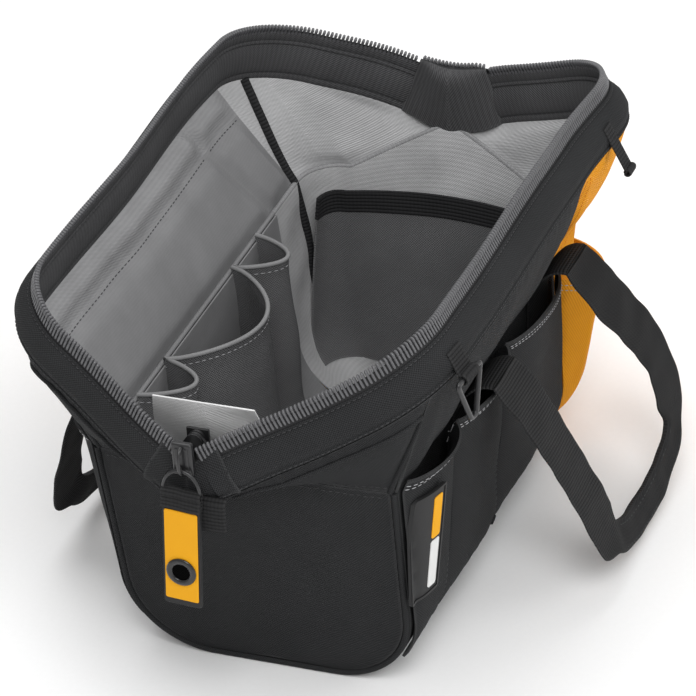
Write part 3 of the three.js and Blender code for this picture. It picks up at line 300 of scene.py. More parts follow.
def maths(tree, operation, *values):
    """One arithmetic node; a value is a number or a socket."""
    node = tree.nodes.new("ShaderNodeMath")
    node.operation = operation
    for i, value in enumerate(values):
        if isinstance(value, (int, float)):
            node.inputs[i].default_value = value
        else:
            tree.links.new(value, node.inputs[i])
    return node.outputs[0]


def split(tree, vector):
    node = tree.nodes.new("ShaderNodeSeparateXYZ")
    tree.links.new(vector, node.inputs[0])
    return node.outputs


VECTOR = ("Place", "NodeSocketVector", None)


def weave_effect():
    """Threads over and under each other, one round trip to a pitch."""
    group, inlet, outlet = socketed(
        "woven_threads", [VECTOR, ("Threads", "NodeSocketFloat", 900)], ["Height"]
    )
    across = split(group, inlet.outputs["Place"])
    turns = maths(group, "MULTIPLY", inlet.outputs["Threads"], 2 * pi)
    waves = [maths(group, "SINE", maths(group, "MULTIPLY", across[i], turns)) for i in (0, 1)]
    crossed = maths(group, "MULTIPLY", *waves)
    group.links.new(maths(group, "MULTIPLY_ADD", crossed, 0.5, 0.5), outlet.inputs[0])
    return group


def twill_effect():
    """Slanted ribs, as on coated lining cloth."""
    group, inlet, outlet = socketed(
        "slanted_twill", [VECTOR, ("Threads", "NodeSocketFloat", 900)], ["Height"]
    )
    across = split(group, inlet.outputs["Place"])
    turns = maths(group, "MULTIPLY", inlet.outputs["Threads"], 2 * pi)
    slant = maths(
        group, "SINE", maths(group, "MULTIPLY", maths(group, "ADD", across[0], across[1]), turns)
    )
    fine = maths(
        group, "SINE", maths(group, "MULTIPLY", maths(group, "MULTIPLY", across[1], turns), 0.5)
    )
    mixed = maths(group, "MULTIPLY_ADD", slant, 0.35, maths(group, "MULTIPLY", fine, 0.15))
    group.links.new(maths(group, "ADD", mixed, 0.5), outlet.inputs[0])
    return group


def rib_effect():
    """Rounded ribs across a strap, with the strap's lengthwise threads over them."""
    group, inlet, outlet = socketed(
        "strap_ribs", [VECTOR, ("Threads", "NodeSocketFloat", 450)], ["Height"]
    )
    across = split(group, inlet.outputs["Place"])
    turns = maths(group, "MULTIPLY", inlet.outputs["Threads"], pi)
    rib = maths(group, "ABSOLUTE", maths(group, "SINE", maths(group, "MULTIPLY", across[1], turns)))
    thread = maths(
        group, "SINE", maths(group, "MULTIPLY", maths(group, "MULTIPLY", across[0], turns), 2.0)
    )
    tall = maths(group, "MULTIPLY", maths(group, "POWER", rib, 0.6), 0.8)
    group.links.new(maths(group, "MULTIPLY_ADD", thread, 0.1, tall), outlet.inputs[0])
    return group


def grain_effect():
    """Fine irregular grain of moulded or rolled surfaces."""
    group, inlet, outlet = socketed(
        "fine_grain", [VECTOR, ("Threads", "NodeSocketFloat", 900)], ["Height"]
    )
    speckle = group.nodes.new("ShaderNodeTexNoise")
    speckle.inputs["Detail"].default_value = 3
    group.links.new(inlet.outputs["Place"], speckle.inputs["Vector"])
    group.links.new(inlet.outputs["Threads"], speckle.inputs["Scale"])
    group.links.new(speckle.outputs["Fac"], outlet.inputs[0])
    return group


def mottle_effect():
    """Soft patches of wear and dust."""
    group, inlet, outlet = socketed(
        "soft_patches", [VECTOR, ("Patches", "NodeSocketFloat", 30)], ["Value"]
    )
    cloud = group.nodes.new("ShaderNodeTexNoise")
    cloud.inputs["Detail"].default_value = 5
    cloud.inputs["Roughness"].default_value = 0.62
    group.links.new(inlet.outputs["Place"], cloud.inputs["Vector"])
    group.links.new(inlet.outputs["Patches"], cloud.inputs["Scale"])
    group.links.new(cloud.outputs["Fac"], outlet.inputs[0])
    return group


EFFECTS = {
    "weave": weave_effect(),
    "twill": twill_effect(),
    "ribs": rib_effect(),
    "grain": grain_effect(),
    "mottle": mottle_effect(),
}


def placed(tree, effect, vector, number):
    node = tree.nodes.new("ShaderNodeGroup")
    node.node_tree = EFFECTS[effect]
    tree.links.new(vector, node.inputs["Place"])
    node.inputs[1].default_value = number
    return node.outputs[0]


def finish(
    name, colour, rough, effect, pitch, relief, contrast=0.3, mottle=0.2, patches=28, metal=0.0,
    shine=0.1, coat=0.0, wear=0.0, read="UV"
):
    """A material: a pattern at a pitch in metres, soft patches, and paler worn edges."""
    material = bpy.data.materials.new(name)
    material.use_nodes = True
    tree = material.node_tree
    shader = tree.nodes["Principled BSDF"]
    where = tree.nodes.new("ShaderNodeTexCoord")
    height = placed(tree, effect, where.outputs[read], 1 / pitch)
    cloud = placed(tree, "mottle", where.outputs["Object"], patches)
    tone = maths(tree, "MULTIPLY_ADD", height, contrast, 0.5 - contrast / 2)
    tone = maths(tree, "ADD", tone, maths(tree, "MULTIPLY_ADD", cloud, 2 * mottle, -mottle))
    shade = tree.nodes.new("ShaderNodeMix")
    shade.data_type = "RGBA"
    shade.inputs[6].default_value = (*[c * 0.45 for c in colour], 1)
    shade.inputs[7].default_value = (*[min(1, c * 1.55) for c in colour], 1)
    tree.links.new(tone, shade.inputs[0])
    result = shade.outputs[2]
    if wear:
        edge = tree.nodes.new("ShaderNodeAttribute")
        edge.attribute_name = "edge"
        near = maths(tree, "SUBTRACT", 1.0, maths(tree, "DIVIDE", edge.outputs["Fac"], 2.2))
        rubbed = maths(tree, "MULTIPLY", maths(tree, "MAXIMUM", near, 0.0), wear)
        paler = tree.nodes.new("ShaderNodeMix")
        paler.data_type = "RGBA"
        paler.inputs[7].default_value = (*[min(1, c * 1.4 + 0.05) for c in colour], 1)
        tree.links.new(maths(tree, "MULTIPLY", rubbed, cloud), paler.inputs[0])
        tree.links.new(result, paler.inputs[6])
        result = paler.outputs[2]
    tree.links.new(result, shader.inputs["Base Color"])
    tree.links.new(maths(tree, "MULTIPLY_ADD", cloud, 0.14, rough - 0.07), shader.inputs["Roughness"])
    soft = tree.nodes.new("ShaderNodeBump")
    soft.inputs["Strength"].default_value = 0.25
    soft.inputs["Distance"].default_value = 0.0006
    tree.links.new(cloud, soft.inputs["Height"])
    bump = tree.nodes.new("ShaderNodeBump")
    bump.inputs["Strength"].default_value = relief
    bump.inputs["Distance"].default_value = pitch * 0.3
    tree.links.new(height, bump.inputs["Height"])
    tree.links.new(soft.outputs[0], bump.inputs["Normal"])
    tree.links.new(bump.outputs[0], shader.inputs["Normal"])
    shader.inputs["Metallic"].default_value = metal
    shader.inputs["Specular IOR Level"].default_value = 0.5 if metal else shine
    shader.inputs["Coat Weight"].default_value = coat
    shader.inputs["Coat Roughness"].default_value = 0.3
    return material


BLACK_CLOTH = finish(
    "black_shell_cloth", (0.024, 0.0245, 0.0255), 0.8, "weave", 0.0018, 0.9, 0.85, 0.2, wear=0.6
)
ORANGE_CLOTH = finish(
    "orange_shell_cloth", (0.98, 0.29, 0.012), 0.78, "weave", 0.0018, 0.8, 0.35, 0.14, wear=0.2
)
GREY_LINING = finish(
    "grey_lining_cloth", (0.21, 0.21, 0.214), 0.6, "twill", 0.0011, 0.35, 0.16, 0.2, shine=0.3, wear=0.2
)
# The light lining cloth painted darker: painted shade for the strip under the band and for the far waist
# binding.
SHADE_PAINTED_LINING = finish(
    "lining_cloth_painted_shade", (0.27, 0.27, 0.275), 0.5, "twill", 0.0016, 0.6, 0.3, 0.25, shine=0.4, wear=0.2
)
# The same light lining cloth painted brighter: painted light on the far wall's lining.
LIT_PAINTED_LINING = finish(
    "lining_cloth_painted_lit", (0.44, 0.44, 0.445), 0.5, "twill", 0.0016, 0.6, 0.3, 0.25, shine=0.4,
    wear=0.2
)
# Pale flap cloth, its colour raised further as painted light from above.
FLAP_PAINTED_LIT = finish("pale_flap_painted_lit", (0.74, 0.74, 0.745), 0.6, "twill", 0.0014, 0.5, 0.15, 0.15)
DARK_POCKET = finish(
    "dark_pocket_cloth", (0.125, 0.125, 0.128), 0.75, "weave", 0.0018, 0.8, 0.5, 0.2, wear=0.5
)
INNER_BAND = finish(
    "inner_band_tape", (0.062, 0.062, 0.064), 0.75, "twill", 0.0019, 0.9, 0.6, 0.25, wear=0.3
)
BINDING = finish("binding_tape", (0.022, 0.022, 0.023), 0.8, "ribs", 0.0026, 0.9, 0.6, 0.25)
WEBBING = finish(
    "strap_webbing", (0.018, 0.018, 0.0185), 0.7, "ribs", 0.0024, 0.95, 0.75, 0.15, wear=0.2
)
ZIP_TAPE = finish("zip_tape_cloth", (0.03, 0.03, 0.031), 0.8, "twill", 0.0009, 0.4, 0.3, 0.1)
TEETH = finish(
    "zip_teeth_plastic", (0.085, 0.085, 0.09), 0.38, "grain", 0.0015, 0.2, 0.3, 0.1, shine=0.5,
    coat=0.2, read="Object"
)
DARK_METAL = finish(
    "black_plated_metal", (0.014, 0.014, 0.015), 0.32, "grain", 0.0009, 0.12, 0.25, 0.25, metal=0.15,
    coat=0.12, read="Object"
)
GLOSSY_BLACK = finish(
    "glossy_black_eyelet", (0.008, 0.008, 0.0085), 0.22, "grain", 0.0009, 0.04, 0.1, 0.1, shine=0.45,
    coat=0.2, read="Object"
)
# A near-black disc for the eyelet's bore: painted shade where the hole is.
DEEP_SHADE = finish(
    "eyelet_painted_hole_shade", (0.003, 0.003, 0.003), 0.9, "weave", 0.0018, 0.5, 0.4, 0.1, shine=0.0
)
ORANGE_RUBBER = finish(
    "orange_rubber", (1.0, 0.34, 0.012), 0.55, "grain", 0.0008, 0.15, 0.06, 0.08, read="Object"
)
BLACK_RUBBER = finish(
    "black_rubber", (0.012, 0.012, 0.0125), 0.5, "grain", 0.0009, 0.2, 0.2, 0.2, shine=0.3,
    read="Object"
)
PALE_RUBBER = finish(
    "pale_rubber", (0.74, 0.74, 0.70), 0.55, "grain", 0.0008, 0.12, 0.06, 0.08, read="Object"
)
PALE_THREAD = finish(
    "pale_thread", (0.36, 0.36, 0.37), 0.7, "grain", 0.0005, 0.4, 0.4, 0.2, read="Object"
)
DARK_THREAD = finish(
    "dark_thread", (0.05, 0.05, 0.052), 0.7, "grain", 0.0005, 0.4, 0.4, 0.2, read="Object"
)
ORANGE_THREAD = finish(
    "orange_thread", (0.72, 0.22, 0.02), 0.7, "grain", 0.0005, 0.4, 0.4, 0.2, read="Object"
)
PALE_PIPING = finish(
    "pale_piping_cloth", (0.22, 0.22, 0.223), 0.65, "grain", 0.0008, 0.4, 0.3, 0.2, read="Object"
)
BOARD = finish("pressed_board", (0.07, 0.068, 0.062), 0.7, "grain", 0.002, 0.4, 0.4, 0.3, read="Object")


# Meshes


def piece(name, points, faces, material, uv=None, edge=None, angle=48, marks=None):
    """A mesh piece from points in millimetres, turned right side out."""
    points = np.asarray(points, float)
    mesh = bpy.data.meshes.new(name)
    volume = 0.0
    for f in faces:
        a, b, c = points[f[0]], points[f[1]], points[f[2]]
        volume += a @ np.cross(b, c)
        if len(f) == 4:
            volume += a @ np.cross(c, points[f[3]])
    if volume < 0:
        faces = [tuple(reversed(f)) for f in faces]
    mesh.from_pydata((points * MM).tolist(), [], [tuple(int(i) for i in f) for f in faces])
    if uv is not None:
        layer = mesh.uv_layers.new(name="cloth")
        corners = np.empty(len(mesh.loops), np.int32)
        mesh.loops.foreach_get("vertex_index", corners)
        layer.data.foreach_set("uv", np.asarray(uv, np.float32)[corners].ravel())
    values = np.full(len(points), 30.0) if edge is None else np.asarray(edge).ravel()
    mesh.attributes.new("edge", "FLOAT", "POINT").data.foreach_set("value", values.astype(np.float32))
    made = bpy.data.objects.new(name, mesh)
    bpy.context.scene.collection.objects.link(made)
    mesh.materials.append(material)
    smooth(made, angle)
    return made


def smooth(made, angle=48):
    bpy.ops.object.select_all(action="DESELECT")
    made.select_set(True)
    bpy.context.view_layer.objects.active = made
    bpy.ops.object.shade_smooth_by_angle(angle=radians(angle))


def arc_lengths(grid):
    """Distances over a grid of points, along its rows and up its columns."""
    u = np.concatenate(
        [np.zeros((grid.shape[0], 1)), np.cumsum(np.linalg.norm(np.diff(grid, axis=1), axis=-1), 1)], 1
    )
    v = np.concatenate(
        [np.zeros((1, grid.shape[1])), np.cumsum(np.linalg.norm(np.diff(grid, axis=0), axis=-1), 0)], 0
    )
    return u, v


def between(name, outer, inner, material, ring=False, angle=48):
    """A thin closed solid between two facing grids; ring closes it along its rows."""
    rows, columns = outer.shape[:2]
    top = np.arange(rows * columns).reshape(rows, columns)
    low = top + rows * columns
    turns = range(columns if ring else columns - 1)
    faces = []
    for i in range(rows - 1):
        for j in turns:
            k = (j + 1) % columns
            faces.append((top[i, j], top[i, k], top[i + 1, k], top[i + 1, j]))
            faces.append((low[i, j], low[i + 1, j], low[i + 1, k], low[i, k]))
        if not ring:
            faces.append((top[i, 0], top[i + 1, 0], low[i + 1, 0], low[i, 0]))
            faces.append((top[i, -1], low[i, -1], low[i + 1, -1], top[i + 1, -1]))
    for j in turns:
        k = (j + 1) % columns
        faces.append((top[0, j], low[0, j], low[0, k], top[0, k]))
        faces.append((top[-1, j], top[-1, k], low[-1, k], low[-1, j]))
    u, v = arc_lengths(outer)
    edge = np.minimum(np.minimum(u, u[:, -1:] - u), np.minimum(v, v[-1:] - v))
    flat = np.stack([u - u[:, columns // 2][:, None], v], -1).reshape(-1, 2) * MM
    points = np.concatenate([outer.reshape(-1, 3), inner.reshape(-1, 3)])
    return piece(
        name, points, faces, material, np.concatenate([flat, flat]), np.tile(edge.ravel(), 2), angle
    )


def inward(grid, centre=TO_BAG):
    """Unit normals of a grid, on the side of a centre."""
    n = normals_of(grid)
    return n * np.sign(np.sum((np.asarray(centre) - grid) * n))


def cloth(name, grid, material, thickness=CLOTH, centre=TO_BAG, angle=48):
    """A layer of cloth whose outer face is the grid."""
    return between(name, grid, grid + inward(grid, centre) * thickness, material, angle=angle)


def rumple(grid, amount, size, seed, fade=14.0, stretch=(1.0, 1.0), centre=TO_BAG):
    """Pushes a grid in and out in soft irregular waves that die away at its edges."""
    u, v = arc_lengths(grid)
    edge = np.minimum(np.minimum(u, u[:, -1:] - u), np.minimum(v, v[-1:] - v))
    calm = np.clip(edge / fade, 0, 1)
    calm = calm * calm * (3 - 2 * calm)
    wave = np.zeros(u.shape)
    for at in np.ndindex(*u.shape):
        wave[at] = noise.noise(Vector((u[at] / size * stretch[0], v[at] / size * stretch[1], seed)))
    return grid + inward(grid, centre) * (wave * calm * amount)[..., None]


def tube(name, line, radius, material, sides=10, closed=False):
    """A round cord along a line of points."""
    line = np.asarray(line, float)
    ahead = np.gradient(line, axis=0)
    if closed:
        ahead = np.roll(line, -1, 0) - np.roll(line, 1, 0)
    ahead /= np.linalg.norm(ahead, axis=1)[:, None]
    across = np.zeros_like(line)
    guide = np.array([0.31, 0.52, 0.79]) if abs(ahead[0, 2]) < 0.9 else np.array([1.0, 0.2, 0.0])
    for i, t in enumerate(ahead):
        guide = guide - t * (guide @ t)
        guide /= np.linalg.norm(guide)
        across[i] = guide
    up = np.cross(ahead, across)
    turn = np.linspace(0, 2 * pi, sides, endpoint=False)
    radius = np.broadcast_to(radius, len(line))[:, None, None]
    rings = line[:, None] + radius * (
        across[:, None] * np.cos(turn)[None, :, None] + up[:, None] * np.sin(turn)[None, :, None]
    )
    count = len(line)
    index = np.arange(count * sides).reshape(count, sides)
    faces = []
    for i in range(count if closed else count - 1):
        n = (i + 1) % count
        for j in range(sides):
            k = (j + 1) % sides
            faces.append((index[i, j], index[i, k], index[n, k], index[n, j]))
    if not closed:
        faces += [tuple(index[0][::-1]), tuple(index[-1])]
    length = np.concatenate([[0], np.cumsum(np.linalg.norm(np.diff(line, axis=0), axis=1))])
    uv = np.stack(np.broadcast_arrays(turn[None] * 2, length[:, None]), -1).reshape(-1, 2) * MM
    return piece(name, rings.reshape(-1, 3), faces, material, uv)


# Where each piece rides, and how the cloth of the mouth bends between the bag and its frame

BENDS = {
    "near": ((-0.8683, 0.4537, -0.2004), 165.74, 180.84), "side": ((0.0, 0.35, 0.93675), 182.7, 271.3),
    "far": ((0.946, 0.29, 0.1452), 214.11, 230.65),
}


def affine_bend(places, values):
    """The straight-line bend that has the given values at three places."""
    a, b, c = (np.array(p, float) for p in places)
    across = np.stack([b - a, c - a])
    rise = np.array([values[1] - values[0], values[2] - values[0]])
    slope = across.T @ np.linalg.solve(across @ across.T, rise)
    size = np.linalg.norm(slope)
    low = slope @ a / size - values[0] / size
    return tuple(slope / size), low, low + 1 / size


def bend_value(part, place):
    direction, low, high = BENDS[part]
    return (np.array(direction) @ np.array(place) - low) / (high - low)


MID_NEAR, SPLIT, MID_FAR = 5, 32, 66


def end_bends(layer, depth, offset, lead, extra):
    """Bends of the end parts that agree with the side's bend along their shared seams."""
    direction, low, high = BENDS["side"]
    BENDS["side" + layer] = (direction, low, low + (high - low) / lead)
    ends = (("near", near_lines, 44, 44, MID_NEAR, 0), ("far", far_lines, 72, SPLIT, MID_FAR, 72))
    for part, lines, columns, border, middle, last in ends:
        seam, band = (resample(line, columns) for line in lines(1, depth, offset, depth))
        if layer:
            top = bend_value("side" + layer, band[border])
            values = (bend_value("side" + layer, seam[border]), top, top + extra)
            BENDS[part + layer] = affine_bend((seam[border], band[border], band[middle]), values)
        at = (seam[middle], band[middle], band[last])
        values = (bend_value(part + layer, at[0]), bend_value(part + layer, at[1]), 0.0)
        BENDS[part + "_mid" + layer] = affine_bend(at, values)


end_bends("", 0.0, 0.0, 1.0, 0.0)
end_bends("_lining", CLOTH + 2 * GAP + 1.0, -10.5, 1.12, 0.4)
BENDS["v_cover"] = ((0.0, 1.0, 0.0), 0.0, 17.0)


def sewn(made, body, slot, *nodes):
    """A piece that moves with one body, and stands for the named solids."""
    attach(made, body)
    if nodes:
        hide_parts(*nodes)
    return made


def bending(made, side, part, slot, *nodes):
    """Bakes a piece's placement into its points and hides the named solids."""
    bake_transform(made)
    if nodes:
        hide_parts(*nodes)
    return made


# Small parts that repeat are modelled once and copied


def modelled(add, shape):
    """Models one small part with the mesh tools and returns its points and faces."""
    bpy.ops.object.select_all(action="DESELECT")
    add()
    bpy.ops.object.mode_set(mode="EDIT")
    shape()
    bpy.ops.object.mode_set(mode="OBJECT")
    made = bpy.context.object
    points = np.array([v.co for v in made.data.vertices]) @ np.array(made.matrix_world.to_3x3()).T
    faces = [tuple(p.vertices) for p in made.data.polygons]
    bpy.data.objects.remove(made)
    return points, faces


def thread_model():
    return modelled(
        lambda: bpy.ops.mesh.primitive_uv_sphere_add(
            segments=6, ring_count=5, radius=0.5, rotation=(0, pi / 2, 0)
        ),
        lambda: bpy.ops.mesh.select_all(action="SELECT"),
    )


def tooth_model():
    def shape():
        bpy.ops.mesh.select_all(action="SELECT")
        bpy.ops.mesh.bevel(offset=0.2, segments=1, affect="EDGES")

    return modelled(lambda: bpy.ops.mesh.primitive_cube_add(size=1.0), shape)


THREAD = thread_model()
TOOTH = tooth_model()


def spread(name, model, places, axes, material):
    """Copies a small part to each place; axes holds its scaled x, y and z directions there."""
    points, faces = model
    count = len(points)
    where = places[:, None] + np.einsum("pk,nkx->npx", points, axes)
    every = [tuple(i + n * count for i in f) for n in range(len(places)) for f in faces]
    return piece(name, where.reshape(-1, 3), every, material, angle=60)


def stitches(name, line, normal, material=PALE_THREAD, pitch=4.4, length=3.1, width=0.75):
    """A row of stitches along a line that lies on cloth with the given normals."""
    line, normal = np.asarray(line, float), np.asarray(normal, float)
    far = np.concatenate([[0], np.cumsum(np.linalg.norm(np.diff(line, axis=0), axis=1))])
    at = np.arange(pitch / 2, far[-1] - pitch / 3, pitch)

    def on(values, where):
        return np.stack([np.interp(where, far, values[:, i]) for i in range(3)], -1)

    ahead = on(line, at + length / 2) - on(line, at - length / 2)
    ahead /= np.maximum(np.linalg.norm(ahead, axis=1)[:, None], 1e-9)
    up = on(normal, at)
    up -= ahead * np.sum(up * ahead, axis=1)[:, None]
    up /= np.linalg.norm(up, axis=1)[:, None]
    axes = np.stack([ahead * length, np.cross(up, ahead) * width, up * width * 0.8], 1)
    return spread(name, THREAD, on(line, at) + up * width * 0.12, axes, material)


def row_line(grid, inset, centre=TO_BAG, from_top=True):
    """A line over the cloth at a distance from its top or bottom edge, and the outward normals there."""
    v = arc_lengths(grid)[1]
    out = -inward(grid, centre)
    target = v[-1] - inset if from_top else np.full(v.shape[1], inset)
    line, normal = [], []
    for j in range(grid.shape[1]):
        line.append([np.interp(target[j], v[:, j], grid[:, j, i]) for i in range(3)])
        normal.append([np.interp(target[j], v[:, j], out[:, j, i]) for i in range(3)])
    return np.array(line), np.array(normal)


# Floor and walls of the shell


def strip(lines, columns, rows):
    """Straight rulings from a lower edge to an upper edge."""
    low, high = resample(lines[0], columns), resample(lines[1], columns)
    return low[None] + (high - low)[None] * np.linspace(0, 1, rows + 1)[:, None, None]


def up_the_girth(count):
    return np.concatenate(
        [np.linspace(0, FOOT_SHARE, count), np.linspace(FOOT_SHARE, 1, count + 8)[1:]]
    )


def plate(near_inset, far_inset, gap, z):
    """Grid over the flat floor, with its far corners rounded."""
    near, turn, middle = near_x(0) + near_inset, far_x(0) - 31.6, FOOT_HALF - 31.6
    radius = 31.6 - far_inset
    x = np.concatenate(
        [np.linspace(near, turn, 30), turn + radius * np.sin(np.linspace(0, pi / 2, 12)[1:])]
    )
    round_half = middle + np.sqrt(np.maximum(radius**2 - np.maximum(x - turn, 0) ** 2, 0))
    half = np.where(x <= turn, FOOT_HALF - gap, np.minimum(round_half, FOOT_HALF - gap))
    y = np.linspace(-1, 1, 17)[:, None] * half
    return np.stack(np.broadcast_arrays(x[None], y, z), -1)


def side_wall(side, near_start, inset, rows, columns=60):
    half, z = girth(rows)
    share = np.linspace(0, 1, columns)[None]
    start, end = near_x(z)[:, None] + near_start, seam_x(z)[:, None]
    return np.stack(
        np.broadcast_arrays(start + (end - start) * share, side * (half[:, None] - inset), z[:, None]),
        -1
    )


def smoothed(x):
    x = np.clip(x, 0, 1)
    return x * x * (3 - 2 * x)


def puckered(grid, amount=0.45, period=13.0, reach=16.0, from_top=True, centre=TO_BAG):
    """Small gathers where a seam pulls the cloth in."""
    u, v = arc_lengths(grid)
    away = v[-1] - v if from_top else v
    fade = np.exp(-away / reach) * smoothed(away / 2.5)
    wave = np.sin(
        2 * pi * u / period + 1.7 * np.sin(u / 31.0)
    ) + 0.6 * np.sin(2 * pi * u / (period * 0.61) + 1.0)
    return grid - inward(grid, centre) * (wave * fade * amount)[..., None]


floor = plate(SIDE_START, CLOTH + GAP, GAP, 0.0)
sewn(
    between("bottom_cloth", floor, floor + [0, 0, CLOTH], BLACK_CLOTH), "bag", "black_fabric",
    "bottom_panel"
)
inner_floor = plate(INNER_FACE + GAP, INNER_FACE + GAP, -19.0, LINING_INSET + 2.4)
inner_floor[..., 2] = FOOT_RADIUS - np.sqrt(
    47.6**2 - np.maximum(np.abs(inner_floor[..., 1]) - FOOT_HALF, 0) ** 2
)
inner_floor = rumple(inner_floor, 1.2, 60, 3.1, 20, centre=(0, 0, 300))
sewn(
    between("floor_lining_cloth", inner_floor, inner_floor - [0, 0, 1.0], GREY_LINING), "bag",
    "grey_lining", "floor_lining"
)

GIRTH = up_the_girth(18)
for word, side in SIDES:
    wall = rumple(side_wall(side, SIDE_START, 0, GIRTH), 0.8, 60, side * 3.0)
    sewn(cloth(f"{word}_side_cloth", wall, BLACK_CLOTH), "bag", "black_fabric", f"{word}_side_panel")
    inside = rumple(
        side_wall(side, LINING_INSET + 1, INNER_FACE + 1.2, GIRTH), 2.2, 48, side * 5.0, 16,
        centre=(0, side * 400, 90)
    )
    made = between(f"{word}_side_lining", inside, inside + [0, side * 1.0, 0], GREY_LINING)
    sewn(made, "bag", "grey_lining", f"{word}_lining")

SPAN = np.linspace(-1, 1, 97)
near_panel = near_wall(SPAN[None], GIRTH[:, None], PANEL_INSET)
near_panel = puckered(rumple(near_panel, 2.6, 75, 7.0, 22, (1.3, 0.8)), 0.5)
sewn(cloth("near_end_cloth", near_panel, BLACK_CLOTH), "bag", "black_fabric", "near_end_panel")
line, normal = row_line(near_panel, 5.0)
sewn(stitches("near_end_topstitch", line[2:-2], normal[2:-2], DARK_THREAD), "bag", "black_fabric")

inside = near_wall(SPAN[None], GIRTH[:, None], INNER_FACE + GAP)
inside = inside + inward(inside) * LINING_INSET
inside = rumple(inside + inward(inside) * 1.0, 1.6, 42, 8.0, 16, centre=(-500, 0, 90))
lining_near = between("near_end_lining", inside, inside - inward(inside, (0, 0, 90)) * 1.0, GREY_LINING)
sewn(lining_near, "bag", "grey_lining", "near_lining")

ROUND = np.concatenate(
    [
        np.linspace(-1, -CORNER_SHARE, 16), np.linspace(-CORNER_SHARE, -FACE_SHARE, 16)[1:],
        np.linspace(-FACE_SHARE, FACE_SHARE, 40)[1:], np.linspace(FACE_SHARE, CORNER_SHARE, 16)[1:],
        np.linspace(CORNER_SHARE, 1, 16)[1:]
    ]
)
far_panel = far_wall(ROUND[None], GIRTH[:, None])
far_panel = puckered(rumple(far_panel, 2.0, 70, 9.0, 20), 0.5)
sewn(cloth("far_end_cloth", far_panel, ORANGE_CLOTH), "bag", "orange_fabric", "far_end_panel")
line, normal = row_line(far_panel, 5.0)
sewn(stitches("far_end_topstitch", line[2:-2], normal[2:-2], ORANGE_THREAD), "bag", "orange_fabric")

lift = np.clip((CORNER_SHARE - np.abs(ROUND)) / (CORNER_SHARE - FACE_SHARE), 0, 1)[None]
start = 0.15 * lift
inside = far_wall(ROUND[None], start + (1 - start) * GIRTH[:, None])
inside = inside + inward(inside) * INNER_FACE
inside = rumple(inside, 2.0, 40, 10.0, 16, centre=(500, 0, 90))
# The far lining takes the lining colour painted brighter, painted light.
lining_far = between("far_end_lining", inside, inside - inward(inside) * 1.0, LIT_PAINTED_LINING)
sewn(lining_far, "bag", "grey_lining", "far_lining")

# The floor lining runs up a little at the foot of the far wall
across, ahead = np.meshgrid(np.linspace(-50, 50, 31), np.linspace(96, 155.5, 25))
rise = LINING_INSET + 3.2 + 9.0 * np.clip((ahead - 134 + 0.004 * across**2) / 20, 0, 1) ** 2
foot = np.stack([ahead, across, rise], -1)
sewn(between("far_foot_lining", foot, foot - [0, 0, 1.0], GREY_LINING), "bag", "grey_lining")

half, z = girth(GIRTH, 2.2)
edge_line = np.stack([near_x(z) + 0.3, half, z], -1)
edge_line = np.concatenate([edge_line[::-1], edge_line * [1, -1, 1]])
piping = tube("near_edge_piping", resample(edge_line, 150), 1.9, BLACK_CLOTH, 12)
sewn(piping, "bag", "black_fabric", "near_piping")


# The soft upper walls between the waist and the band round the mouth


def faded(grid, reach=12.0):
    u, v = arc_lengths(grid)
    edge = np.minimum(np.minimum(u, u[:, -1:] - u), np.minimum(v, v[-1:] - v))
    return smoothed(edge / reach)


def billow(grid, bulge, folds, size, seed, stretch=(1.0, 0.6), out=1.0, centre=(0, 0, 190)):
    """Bellies the cloth to one side with upright folds that fade at its seams."""
    u, v = arc_lengths(grid)
    share = v / v[-1]
    wave = np.zeros(u.shape)
    for at in np.ndindex(*u.shape):
        a = noise.noise(Vector((u[at] / size * stretch[0], v[at] / size * stretch[1], seed)))
        b = noise.noise(Vector((u[at] / size * 2.3, v[at] / size * 1.4, seed + 5)))
        wave[at] = a + 0.4 * b
    belly = bulge * np.sin(pi * share) ** 0.8
    depth = (belly + folds * wave) * faded(grid)
    return grid - inward(grid, centre) * (np.maximum(depth, 0 if bulge else -9) * out)[..., None]


PARTS = {
    "near": (near_lines, 44, (6.0, 3.5), BLACK_CLOTH, "black_fabric"),
    "side": (side_lines, 84, (4.5, 3.0), BLACK_CLOTH, "black_fabric"),
    "far": (far_lines, 72, (4.0, 3.0), ORANGE_CLOTH, "orange_fabric"),
}
ROWS = 22


def part_grid(part, side, depth, offset, rise):
    make, columns = PARTS[part][:2]
    lines = make(side, depth, offset) if part == "side" else make(side, depth, offset, rise)
    return strip(lines, columns, ROWS)


def in_parts(part, grid):
    """The end parts are cut where the cloth starts to bend another way."""
    if part == "side":
        return [("side", "side", grid)]
    if part == "near":
        return [("near", "near", grid[:, MID_NEAR:]), ("near_mid", "near_mid", grid[:, : MID_NEAR + 1])]
    ends = [
        ("far_side", "side", 0, SPLIT), ("far_end", "far", SPLIT, MID_FAR),
        ("far_mid", "far_mid", MID_FAR, 72)
    ]
    return [(name, bend, grid[:, a : b + 1]) for name, bend, a, b in ends]


